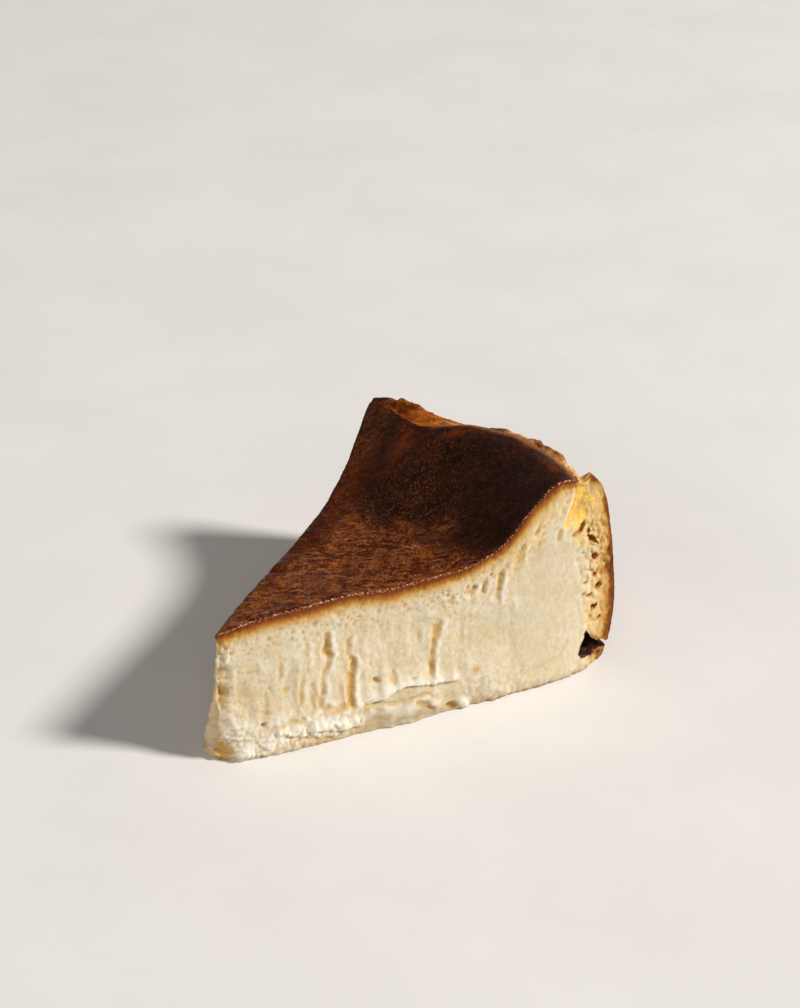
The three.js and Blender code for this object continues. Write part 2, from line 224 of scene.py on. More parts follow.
# ---- The top: t runs from -1 at the near cut to +1 at the far cut ----
crest_radius = curve([
    (-1, 104), (-0.72, 105.7), (-0.2, 107.7), (0.1, 107.5), (0.42, 103.5), (0.6, 104.5), (0.85, 111),
    (1, 113.5),
])
crest_height = curve([(-1, 57.9), (-0.45, 56.8), (0, 55.1), (0.28, 53.6), (0.5, 51.2), (0.75, 50.4), (1, 49.9)])
lip_radius = curve([(-1, 108.6), (-0.3, 110.3), (0.3, 111.6), (0.8, 115), (1, 116.4)])
lip_height = curve([
    (-1, 58.3), (-0.94, 57.8), (-0.86, 53.4), (-0.75, 54.6), (-0.66, 56), (-0.4, 55.8), (0, 54),
    (0.25, 51.2), (0.55, 51.5), (0.8, 51.4), (1, 49.9),
])
near_flat = curve([(0, CENTRE_HEIGHT), (8, 38.1), (17, 38.8), (36, 39.2), (52, 38.2), (62, 38.4)])
far_flat = curve([(0, CENTRE_HEIGHT), (10, 37.3), (21, 37), (40, 35.9), (61, 34.6), (78, 33.8)])
near_rise = curve([
    (0.58, 0), (0.64, 0.005), (0.681, 0.03), (0.723, 0.087), (0.751, 0.144), (0.782, 0.226), (0.824, 0.43),
    (0.863, 0.656), (0.893, 0.805), (0.93, 0.965), (0.959, 1.02), (1, 1),
])
far_rise = curve([(0.52, 0), (0.68, 0.08), (0.815, 0.31), (0.913, 0.69), (0.985, 0.98), (1, 1)])


def shoulder_radius(t):
    """Radius at which the top turns down into the outer wall."""
    return lip_radius(t) + 1.7 + 0.5 * noise(t * 19, 0.5, 3)


def top_height(s, t):
    k = ease(t + 1, 2)
    crest = crest_radius(t)
    flat = mix(near_flat(s), far_flat(s), k)
    rise = mix(near_rise(s / crest), far_rise(s / crest), k)
    ripple = 0.3 * noise(s / 9, t * s * 0.06, 5) * ease(s, 12) * (1 - rise)
    inside = mix(flat, crest_height(t), rise) + ripple
    # Outside the crest the skin is torn: a shallow moist trough, then the ragged lip.
    lip, shoulder = lip_radius(t), shoulder_radius(t)
    ragged = 0.9 * noise(t * 13, 0.5, 7) * (1 - bump(t - 1, 0.1))
    lip_top = lip_height(t) + ragged
    trough = np.minimum(crest_height(t), lip_top) - 1.2 * (1 - ease(t - 0.75, 0.2))
    k1 = (s - crest) / (lip - crest)
    k2 = np.maximum(0, (s - lip) / (shoulder - lip))
    outside = np.where(
        k1 <= 0.42,
        mix(crest_height(t), trough, ease(k1, 0.42)),
        np.where(k1 <= 1, mix(trough, lip_top, ease(k1 - 0.42, 0.58)), lip_top - 1.5 * k2**1.5),
    )
    return np.where(s <= crest, inside, outside)


# ---- The outer wall ----
WALL_INSETS = [(0, 4.6), (2.5, 3.1), (8.6, 1.1), (18.6, 0), (32.5, 1), (47.3, 3), (53, 4.6), (56.9, 6.9)]
wall_profile = curve([(up, WALL_RADIUS - inset) for up, inset in WALL_INSETS])
PLEATS = [
    (-0.66, 0.05, 0.8), (-0.34, -0.04, 1), (-0.05, 0.03, 0.7), (0.22, -0.06, 1), (0.47, 0.05, 0.8),
    (0.74, -0.03, 0.9),
]


def wall_radius(z, t, top):
    climb = np.clip(z / top, 0, 1)
    r = wall_profile(z) + (shoulder_radius(t) - wall_profile(top)) * climb**1.5
    for at, lean, strength in PLEATS:
        off = t - at - lean * climb
        depth = PLEAT_DEPTH * strength * (0.35 + 0.65 * climb)
        r = r - depth * bump(off, 0.03) + 0.45 * depth * bump(off - 0.055, 0.035)
    return r + 0.5 * noise(t * 9, z / 12, 11) * ease(1 - np.abs(t), 0.1) * ease(z, 4)


def wall_detail(z, t):
    """Fine creases that crumpled paper left, in millimetres along the radius."""
    arc = t * HALF * WALL_RADIUS
    fine = 0.28 * ridges(arc / 3.6 + 0.3 * noise(z / 6, 0.5, 61), z / 19, 62)
    fine = fine + 0.16 * ridges(arc / 1.7, z / 8, 63) + 0.12 * fractal(arc / 2.2, z / 2.2, 64)
    return fine * ease(1 - np.abs(t), 0.03)


# ---- The cut faces ----
near_spread = curve([
    (0, 0.2), (6, 0.7), (13, 0.87), (24, 0.96), (39, 1), (54, 1.08), (63, 0.96), (80, 1.02), (96, 0.94),
    (102, 0.78), (108, 0.5), (112, 0.22), (118, 0.05),
])
far_spread = curve([(0, 0.88), (12, 0.75), (40, 0.62), (95, 0.58), (108, 0.35), (117, 0.08)])

# Tears and knife drags on the near cut: a line, its half width and its depth.
GROOVES = [
    ([(31, 29.2), (31.1, 26.5), (30.4, 24.8), (31.3, 23.2)], 0.85, 1.35),
    ([(31.3, 23.6), (29.6, 19.3), (28.6, 15), (27.4, 10.6)], 0.42, 0.8),
    ([(37.1, 26), (37, 24), (36.4, 22.6), (37.9, 20)], 0.5, 0.9),
    ([(37.9, 20.4), (37.2, 17), (36.3, 14.6)], 0.62, 1.2),
    ([(36.6, 16.4), (35.9, 12), (35.6, 8.6)], 1.05, 1.5), ([(62.5, 24), (62.2, 22.2)], 1.3, 1.1),
    ([(61.3, 20.6), (60.5, 18), (59.6, 11.2)], 0.62, 1), ([(24.9, 28), (24.7, 25.2)], 0.5, 0.6),
    ([(17.4, 24.6), (16.7, 19.6)], 0.4, 0.5), ([(56.8, 24.3), (56.6, 21)], 0.4, 0.45),
    ([(48.6, 14.4), (48.2, 12)], 0.5, 0.6), ([(22.9, 19), (21.9, 12)], 0.4, 0.45),
    ([(25.9, 17), (25, 9.5)], 0.45, 0.5), ([(13, 17), (12.3, 11)], 0.4, 0.35),
    ([(33.6, 14), (33, 9)], 0.4, 0.4), ([(28.6, 9.6), (31, 8.6), (33.5, 8.9)], 0.8, 0.8),
    ([(82, 36), (80.8, 31.5), (80.4, 28)], 0.65, 0.75), ([(79.2, 37.5), (81.4, 39.3)], 0.5, 0.6),
    ([(86.3, 38.6), (88.2, 41.6)], 0.55, 1), ([(88, 41.4), (87.2, 37.4)], 0.5, 0.85),
    ([(91.6, 44.6), (93, 46.2)], 0.5, 0.9), ([(66.4, 29.6), (67.4, 31.4)], 0.45, 0.8),
    ([(98.2, 41.6), (99.3, 43.6)], 0.45, 0.8), ([(72.4, 31.2), (74.2, 33)], 0.45, 0.75),
    ([(76, 30.4), (76.8, 33.6)], 0.5, 0.8), ([(18.5, 7.6), (22.5, 8.2)], 0.5, 0.5),
    ([(9.5, 13), (12.5, 12.2)], 0.4, 0.4),
]
# Holes in the crumbly rim, drawn to be cut out: along, up, half width, half height, turn, depth.
HOLES = [
    (106.1, 43.3, 2, 0.72, 0.75, 3), (109.4, 38.8, 1.9, 0.7, -0.75, 3),
    (108.1, 41.4, 0.95, 0.6, 0.9, 2), (109.9, 33.4, 1, 1.2, 0.2, 3.2),
    (110.6, 27.6, 0.95, 0.6, 0.4, 2), (111.4, 23.7, 1.35, 0.7, 0.3, 2.6),
    (108.3, 21.9, 0.8, 0.5, 0.2, 1.8), (110.4, 18.2, 1.45, 0.85, 0.5, 3.4),
    (111.9, 13.9, 0.8, 0.7, -0.3, 2),
]
# Pits pressed into the surface: along, up, half width, half height, turn, depth.
PITS = [
    (43.6, 13.3, 1.3, 0.8, 0, 1.1), (53.9, 11.5, 0.9, 0.5, 0, 0.7), (103.5, 41.2, 1.1, 0.6, 0.9, 1.2),
    (104.6, 33.6, 0.7, 0.5, 0.2, 0.7), (105.6, 29.2, 0.8, 0.5, 0.5, 0.8),
    (107, 26, 0.7, 0.45, 0.2, 0.9), (106.4, 22.6, 0.9, 0.6, 0.6, 0.9), (113.4, 31, 0.8, 0.8, 0, 0.9),
    (108.6, 15.2, 0.8, 0.6, 0.2, 0.8), (64.4, 1.5, 1.7, 1.1, 0.1, 1.6), (11.2, 8.8, 0.9, 0.6, 0, 0.9),
]
# Layers of custard the knife smeared over each other: lower edge, start, end, how proud, how far up, how lumpy.
fold_low = curve([(41, 7.9), (44.6, 8.2), (47.1, 9.2), (52, 10), (55.6, 9.6), (59.3, 8.7), (68, 8)])
LEDGES = [
    (fold_low, 41, 69, 0.85, 2.8, 0.2),
    (curve([(14, 6), (20.7, 3.9), (31, 1.6)]), 13, 34, 0.8, 2.4, 0.7),
    (curve([(23, 5), (28, 4.2), (33.5, 2.6), (38.5, 2.2)]), 22, 39.5, 0.9, 2.6, 0.6),
    (curve([(71, 6.6), (76, 7.6), (80, 8.2)]), 70, 80, 0.35, 1.6, 0.3),
]
# The lower side of the smooth hollow below the first of them.
lens_low = curve([(38, 7.4), (44.1, 7.1), (47.6, 6.4), (53.9, 6.1), (58.4, 6), (62, 5.9)])
SMEARS = [
    ([(38.6, 7.4), (44.1, 7.1), (47.6, 6.4), (53.9, 6.1), (59, 6)], 0.34, 0.6),
    ([(54.2, 5), (56.6, 4.1), (58.6, 2.2)], 0.55, 0.6),
]
# Lumps and scoops: along, up, radius, how proud.
LUMPS = [
    (2.6, 28.7, 2, 0.9), (1, 25.4, 1.7, -0.8), (4.2, 22.5, 1.1, 0.5), (1, 19.8, 1.9, -0.9),
    (1.6, 13, 2.7, 0.9), (0.9, 3.2, 2.5, -1.4), (5.6, 2.8, 1.9, 1.1), (5.6, 9, 2.2, 0.5),
    (12, 4.2, 2.2, 0.5), (0, 31, 2.2, 0.5), (68, 1.8, 1.9, 1.5), (60.2, 3.6, 1.5, 0.8),
    (18.6, 10.4, 1.5, 0.4), (26.5, 5.4, 1.7, 0.7), (33.3, 4.4, 1.7, 0.9), (37.2, 4.6, 1.4, 0.8),
    (30, 5.2, 1.2, 0.5), (46.6, 11.2, 1.6, 0.5), (41.8, 9.6, 1.5, 0.5), (61.5, 9.6, 1.7, 0.7),
    (66, 9.2, 1.6, 0.5), (70.6, 12.2, 1.6, 0.4), (82.6, 33.2, 1.3, 0.5), (88.6, 36.6, 1.6, 0.5),
    (78.2, 32.6, 1.4, 0.4), (60.6, 28.4, 1.8, 0.4),
]
# Moist hollows given a golden-brown painted shade: along, up, half width, half height.
SHADED_HOLLOWS = [
    (1.8, 25.6, 1.3, 1.5), (2, 20, 1.2, 2), (1.6, 3.2, 2.6, 1.9), (3.9, 8.5, 0.8, 0.9),
    (13.1, 11.9, 1.5, 0.8), (15.9, 7.6, 1.8, 0.7), (18.3, 16.8, 1, 1), (9.9, 24.1, 1.3, 0.5),
    (22.4, 14.5, 0.8, 2.4), (26.8, 12.6, 0.7, 2.4), (31.4, 8, 2.6, 1), (48.2, 12.9, 0.9, 1.2),
    (72.6, 9.6, 1.6, 0.8), (64.6, 1.1, 1.5, 1),
]
# Stretches of the lip, by t, where dark crust still stands on it.
CRUST_PIECES = [(-1.2, -0.93), (-0.64, -0.27), (-0.13, 0.11), (0.6, 1.2)]
CREASE = [(103.8, 58.5), (103.6, 52), (102.6, 49.2), (101.5, 45.9), (99.4, 43.4)]
SEAM = [(86, 4.6), (91, 5.6), (97.6, 7.2), (100.4, 10.8)]


def crease_at(z):
    """Where the crease stands along the near cut at a height."""
    return np.interp(z, [up for _, up in CREASE[::-1]], [along for along, _ in CREASE[::-1]])


def cut_texture(s, z, seed, rough, pores, curds):
    """Grain, pores and curds of broken custard. rough, pores and curds say how much of each a place has."""
    out = rough * (0.07 * noise(s / 0.9, z / 0.9, seed) + 0.1 * fractal(s / 2.3, z / 2.0, seed + 1, 2))
    out -= 0.46 * pores * pore_depths(s, z, seed)
    out -= 0.13 * pores * (1 - clumps(s, z, 1.5, seed + 50, 0.3))
    patchy = ease(0.5 + 0.9 * noise(s / 5, z / 5, seed + 60))
    out += 0.38 * curds * (clumps(s, z, 2.9, seed + 30, 0.5) - 0.55) * (0.35 + 0.65 * patchy)
    out += 0.24 * curds * (clumps(s, z, 1.4, seed + 40, 0.5) - 0.5)
    return out


def torn_lines(s, z, lines, seed):
    """How deep tears run, in millimetres: each line's half width and depth, with a ragged outline."""
    warped_s = s + 0.38 * noise(s / 1.7, z / 2.1, seed) + 0.26 * noise(s / 0.8, z / 0.9, seed + 1)
    warped_z = z + 0.6 * noise(s / 1.6, z / 1.6, seed + 2)
    fading = 0.85 + 0.4 * noise(s / 1.5, z / 2.2, seed + 3)
    out = np.zeros(np.broadcast(s, z).shape)
    for line, width, deep in lines:
        d = distance_to_line(warped_s, warped_z, line)
        out = np.maximum(out, deep * fading * ease(1.08 - d / (1.55 * width + 0.12)))
    return out


def near_tears(s, z):
    return torn_lines(s, z, GROOVES, 76)


def far_tears(s, z):
    """The far cut has some of the near cut's tears again, the other way round."""
    return torn_lines(100 - s, z, GROOVES[1:14], 89)


def smears(s, z):
    return torn_lines(s, z, SMEARS, 176)


def wandering(s, z, seed):
    """How far the borders between calm and broken custard wander, in millimetres."""
    return 2.2 * noise(s / 6, z / 6, seed)


def pore_depths(s, z, seed):
    """Round pores of two sizes: 1 in the middle of a pore."""
    return np.maximum(
        spots(s, z, 2.4, seed + 10, 0.55, 0.16, 0.34),
        0.8 * spots(s + 40, z, 1.5, seed + 20, 0.35, 0.22, 0.4),
    )


def skin_edge(s, depth, seed):
    """The browned skin's edge: rounded over, beaded with syrup and a little proud of the custard."""
    rounding = 0.5 * (1 - np.sqrt(np.clip(1 - (1 - np.clip(depth / 0.7, 0, 1)) ** 2, 0, 1)))
    beads = 0.12 * (spots(s, depth * 0.8, 1.3, seed, 0.8, 0.3, 0.5) - 0.3)
    beads += 0.12 * noise(s / 2.4, depth / 0.9, seed + 5)
    return 0.1 * (1 - ease(depth - 1.1, 0.9)) - rounding + beads * (1 - ease(depth / 1.6 - 0.5))


def fragments(t):
    """1 where a piece of crust still stands on the lip, 0 where it has broken away."""
    t = t + 0.02 * noise(t * 23, 0.5, 113)
    found = np.zeros(np.shape(t))
    for low, high in CRUST_PIECES:
        found = np.maximum(found, between(t, low, high, 0.05, 0.05))
    return found


def smeared(s, z):
    """Low on the near cut the knife has left the custard smooth."""
    return between(s, 38, 66, 3, 3) * ease(9.5 - z, 1.5) * ease(z, 0.8)


def near_detail(s, z, top, slope):
    """Relief of the near cut, in millimetres out of its plane."""
    depth = (top - z) * slope
    wander = wandering(s, z, 71)
    left = ease(52 - s, 12)
    ragged = 0.9 * noise(s / 2, z / 2.4, 66)
    before_rim = 105.5 - s - 0.6 * wander - ragged
    calm = ease(s - 84 + wander, 4) * ease(before_rim, 2.5) * ease(depth - 9 + wander, 4)
    quiet = ease(s - 58, 8) * ease(24 - z + wander, 6) * ease(106 - s, 3)
    upper = ease(11 - depth + wander, 5)
    shoulder = ease(s - 56, 8) * ease(z - 22 + wander, 5) * (1 - calm)
    rim = ease(s - 105.2 + 0.5 * wander + ragged, 1.5)
    foot = ease(10 - z + 0.6 * wander, 4) * (1 - 0.5 * ease(s - 38, 20))
    gilt = ease(s - 103.5, 1.5) * ease(z - 43 + 0.4 * wander, 3)
    fringe = ease(3.4 - z, 1.8) + 0.7 * ease(s - 70, 6) * ease(6.5 - z + 0.5 * wander, 2)
    tip = ease(9 - s, 5)

    rough = (1 - 0.8 * calm) * (1 - 0.3 * quiet)
    pores = (0.8 * upper + 0.45 * shoulder + 0.5 * rim + 0.1) * (1 - 0.95 * calm) * (1 - 0.85 * gilt)
    pores = pores * (1 - 0.45 * ease(s - 80, 8) * (1 - rim))
    curds = 0.25 * shoulder + 1.4 * foot + 0.9 * tip + 0.5 * rim + 0.22 + 0.3 * fringe - 0.15 * quiet
    curds = curds * (1 - 0.95 * calm) * (1 - 0.7 * gilt) * (1 - 0.85 * smeared(s, z))
    curds = curds * (1 - 0.65 * ease(3.6 - z, 1.5) * ease(s - 11, 4))
    out = 0.45 * noise(s / 7, z / 9, 21) + 0.2 * noise(s / 3.3, z / 12, 22) * ease(70 - s, 12)
    out *= 1 - 0.85 * calm
    out += cut_texture(s, z, NEAR_SEED, rough, pores, curds)
    out += fringe * (0.16 * noise(s / 0.75, z / 0.7, 115) + 0.14 * noise(s / 1.5, z / 1.2, 116))
    out += 0.55 * rim * (1 - 0.6 * gilt) * (clumps(s, z, 3.3, 66, 0.35) - 0.6)

    drags = left * ease(28 - z + wander, 6) * ease(z - 3, 3)
    broken = 0.35 + 0.65 * ease(0.5 + 1.2 * noise(s / 4, z / 6, 70))
    out += drags * (0.4 + 0.6 * broken) * 0.35 * noise(s / 1.7 + 0.4 * noise(z / 4, s / 9, 72), z / 6.5, 73)
    out += drags * broken * 0.17 * noise(s / 0.95 + 0.3 * noise(z / 3, s / 9, 69), z / 3.6, 74)
    streaks = (1 - left) * (1 - upper) * (1 - 0.75 * calm) * (1 - rim)
    out += streaks * 0.11 * ridges(s / 2.1 + 0.2 * noise(z / 4, 0.5, 68), z / 12, 75)

    out = out - 0.78 * near_tears(s, z) + 0.3 * near_tears(s - 1.4, z + 0.3)
    for at, up, half_w, half_h, turn, deep in PITS:
        u, v = turned(s - at, z - up, -turn)
        r2 = ((u / half_w) ** 2 + (v / half_h) ** 2) * (1 + 0.3 * noise(s / 0.9, z / 0.9, 77))
        out -= deep * np.clip(1.25 - r2, 0, 1) ** 0.8
    for height, start, end, proud, reach, lumpy in LEDGES:
        along = between(s, start, end, 3, 4) * (0.85 + 0.3 * noise(s / 3.3, 0.5, 78))
        along = along * (1 - lumpy * (0.6 - 0.75 * clumps(s, z * 0.7, 2.6, 57, 0.5)))
        above = z - height(s) - lumpy * (0.5 * noise(s / 1.3, 0.5, 79) + 0.6 * noise(s / 4, 0.5, 80))
        shape = np.where(above > 0, bump(above, reach), 0) * ease(above + 0.3, 0.5)
        out += proud * along * (shape - 0.35 * np.where(above <= 0, bump(above, 0.7), 0))
    below = lens_low(s) - z
    out += 0.5 * between(s, 38, 61, 3, 3) * ease(below + 0.1, 0.5) * ease(4.5 - below, 3)
    out -= smears(s, z)
    for at, up, radius, proud in LUMPS:
        d = np.hypot(s - at, (z - up) * 1.15) * (1 + 0.25 * noise(s / 1.4, z / 1.4, 67))
        out += proud * bump(d, radius)

    # The crease under the torn skin: what lies outside it has sunk a little.
    d = distance_to_line(s, z, CREASE)
    beyond = ease(s - crease_at(z), 0.5)
    sunk = beyond * ease(z - 43, 5) * ease(110 - s, 5)
    out = out - 1.2 * sunk - 0.9 * bump(d, 0.6) * ease(z - 43, 3)
    out += 0.15 * (1 - beyond) * bump(d - 1.0, 0.8) * ease(z - 43, 3)
    out -= 0.5 * bump(distance_to_line(s, z, SEAM), 0.4)
    worn = 0.75 + 0.6 * noise(z / 2.1, s / 1.7, 64) + 0.35 * noise(z / 0.9, s / 0.9, 65)
    out -= worn * bump(s - 0.8, 1.6) * ease(depth, 2)
    return out * ease(depth / 1.3 - 0.1) + skin_edge(s, depth, 130)


def far_detail(s, z, top, slope):
    """Relief of the far cut, in millimetres out of its plane."""
    depth = (top - z) * slope
    wander = wandering(s, z, 81)
    calm = ease(s - 60 + wander, 6) * ease(103 - s + wander, 5)
    calm = calm * ease(27 - z + wander, 6) * ease(z - 5, 3)
    upper = ease(10 - depth + wander, 5)
    rim = ease(s - 107 + 0.5 * wander, 2.5)
    foot = ease(7 - z, 4)
    fringe = ease(3 - z, 1.6)
    rough = 1 - 0.7 * calm
    pores = (0.85 * upper + 0.8 * rim + 0.15) * (1 - 0.93 * calm)
    curds = (0.3 + 0.55 * foot + 0.4 * rim + 0.5 * fringe) * (1 - 0.9 * calm)
    out = 0.5 * noise(s / 8, z / 8, 32) * (1 - 0.5 * calm)
    out += 0.3 * noise(s / 3.1, z / 14, 31) * ease(z - 3, 5)
    out += cut_texture(s, z, FAR_SEED, rough, pores, curds)
    drags = (1 - upper) * (1 - 0.75 * calm) * ease(z - 3, 3)
    broken = 0.3 + 0.7 * ease(0.5 + 1.2 * noise(s / 5, z / 7, 85))
    out += drags * broken * 0.32 * ridges(s / 2.7 + 0.35 * noise(z / 5, s / 9, 82), z / 10, 83)
    out += drags * broken * 0.16 * ridges(s / 1.3 + 0.3 * noise(z / 4, s / 9, 86), z / 6, 84)
    out -= 0.9 * rim * ease(z - 9, 3) * spots(s, z, 4.2, 87, 0.8, 0.16, 0.3)
    out -= 0.6 * far_tears(s, z)
    for height, start, end, proud, reach, _ in LEDGES[:2]:
        mirrored = 96 - s
        along = between(mirrored, start, end, 3, 4)
        above = z - height(mirrored) - 2 - 0.4 * noise(s / 2, 0.5, 88)
        out += 0.7 * proud * along * np.where(above > 0, bump(above, reach), 0) * ease(above + 0.3, 0.5)
    return out * ease(depth / 1.3 - 0.1) + skin_edge(s, depth, 140)


def top_detail(s, t):
    """Fine wrinkles, blisters and tears of the browned top, in millimetres of height."""
    across = t * HALF * s
    crest = crest_radius(t)
    flat = 1 - ease(s / crest - 0.62, 0.2)
    away, level = 0.74 * s + 0.67 * across, 0.67 * s - 0.74 * across  # the wrinkles run aslant
    away = away + 0.8 * noise(level / 5, away / 3, 89)
    wrinkle = 0.11 * ridges(away / 1.5, level / 4.2, 91) + 0.08 * ridges(away / 0.95 + 5, level / 2.4, 92)
    wrinkle = wrinkle + 0.05 * fractal(s / 1.1, across / 1.4, 93)
    patchy = 0.35 + 0.65 * ease(0.5 + noise(s / 9, across / 9, 90))
    left = ease(across + 2, 7) * ease(76 - s, 12) * ease(s - 8, 10)
    waves = 0.3 * ridges(away / 3.4 + 0.6 * noise(level / 6, away / 7, 94), level / 12, 95) * left
    skin = wrinkle * (0.25 + 0.75 * flat) * patchy + waves
    skin = skin + 0.12 * spots(s, across, 2.9, 96, 0.4) * (0.4 + 0.6 * flat)
    skin = skin + 0.22 * noise(s / 8, across / 9, 97) * (1 - flat)
    # The far end of the skin has sunk behind the swelling, and a blister stands beside it.
    skin = skin - 0.9 * bump(np.hypot((s - 101.5) / 3.4, (across - 21) / 3.2), 1)
    skin = skin + 0.35 * bump(np.hypot(s - 105.5, across - 28.5), 1.6)
    inside = ease(crest - s, 0.9)
    torn = 0.26 * fractal(s / 1.7, across / 1.5, 98) - 0.3 * spots(s, across, 1.9, 99, 0.5)
    torn = (torn + 0.22 * (clumps(s, across, 2.0, 100) - 0.5)) * (0.4 - 0.25 * ease(t + 0.3, 0.4))
    torn = torn + 0.2 * noise(s / 3.5, across / 4.5, 114)
    lip = ease(s - lip_radius(t) + 2.2, 1.6) * (1 - ease(t - 0.85, 0.12))
    ragged = lip * (0.4 * noise(across / 2.1, 0.5, 111) + 0.25 * noise(across / 0.9, s / 1.2, 112))
    ragged = ragged + lip * (0.75 * fragments(t) - 0.65)
    return mix(torn + ragged, skin, inside)


def side_point(top0, t, climb):
    """A point of a side face: top0 along the cut at the top, t across, climb from 0 at the foot to 1."""
    top = top_height(top0, t)
    z = top * climb
    shoulder, wall = shoulder_radius(t), wall_radius(z, t, top)
    s = top0 + np.clip((top0 - LEAN_START) / (shoulder - LEAN_START), 0, 1) * (wall - shoulder)
    a = t * HALF
    power = 2 + 0.3 * s
    near_share = ((1 - t) / 2) ** power
    far_share = ((1 + t) / 2) ** power
    edge = 0.35 + 0.65 * ease(wall - s, 1.6)
    slump = FOOT_SPREAD * (1 - climb) ** FOOT_POWER
    tuck = 0.7 * np.clip(1 - z / 1.6, 0, 1) ** 2
    rise = (top_height(top0 + 0.7, t) - top_height(top0 - 0.7, t)) / 1.4
    slope = np.where(top0 < crest_radius(t), 1 / np.sqrt(1 + rise**2), 1)
    near_relief = near_detail(s, z, top, slope) * edge
    far_relief = far_detail(s, z, top, slope) * edge
    near = slump * near_spread(s) - tuck + near_relief
    far = slump * far_spread(s) - tuck + far_relief
    at_point = np.clip(1 - (s - POINT_RADIUS) / 7, 0, 1) ** 2
    blunt = 2.6 * (1 - climb) ** FOOT_POWER * (1 - np.maximum(0, t) ** 2) * at_point
    lumpy = 0.6 * noise(z / 2.7, t * 1.3, 58) + 0.4 * noise(z / 1.1, t * 2.4, 59) - 0.45
    blunt = blunt + lumpy * at_point * ease(1 - climb, 0.06)
    on_wall = ease(s - shoulder + 3, 3) * ease(1 - climb, 0.05)
    s_out = s + on_wall * wall_detail(z, t)
    x = s_out * np.cos(a) + NEAR_OUT[0] * near * near_share + FAR_OUT[0] * far * far_share - blunt
    y = s_out * np.sin(a) + NEAR_OUT[1] * near * near_share + FAR_OUT[1] * far * far_share
    relief = near_relief * near_share + far_relief * far_share
    across = t * np.ones_like(s)
    return np.stack([x, y, z], -1), dict(
        skin_depth=(top - z) * slope, wall_depth=wall - s, relief=relief, along=s, across=across
    )


def column_radius(i, t):
    crest = crest_radius(t)
    inner = mix(POINT_RADIUS, crest, np.minimum(i, RISE_COLUMNS) / RISE_COLUMNS)
    outer = mix(crest, shoulder_radius(t), (i - RISE_COLUMNS) / RIM_COLUMNS)
    return np.where(i <= RISE_COLUMNS, inner, outer)


def zip_strips(strips, faces, flip):
    """Triangles between neighbouring rows of points that may hold different numbers of them."""
    for inner, outer in zip(strips, strips[1:]):
        a = b = 0
        last_a, last_b = len(inner) - 1, len(outer) - 1
        while a < last_a or b < last_b:
            if b < last_b and (a == last_a or (b + 1) / last_b <= (a + 1) / last_a):
                tri = (inner[a], outer[b], outer[b + 1])
                b += 1
            else:
                tri = (inner[a], outer[b], inner[a + 1])
                a += 1
            faces.append(tri[::-1] if flip else tri)


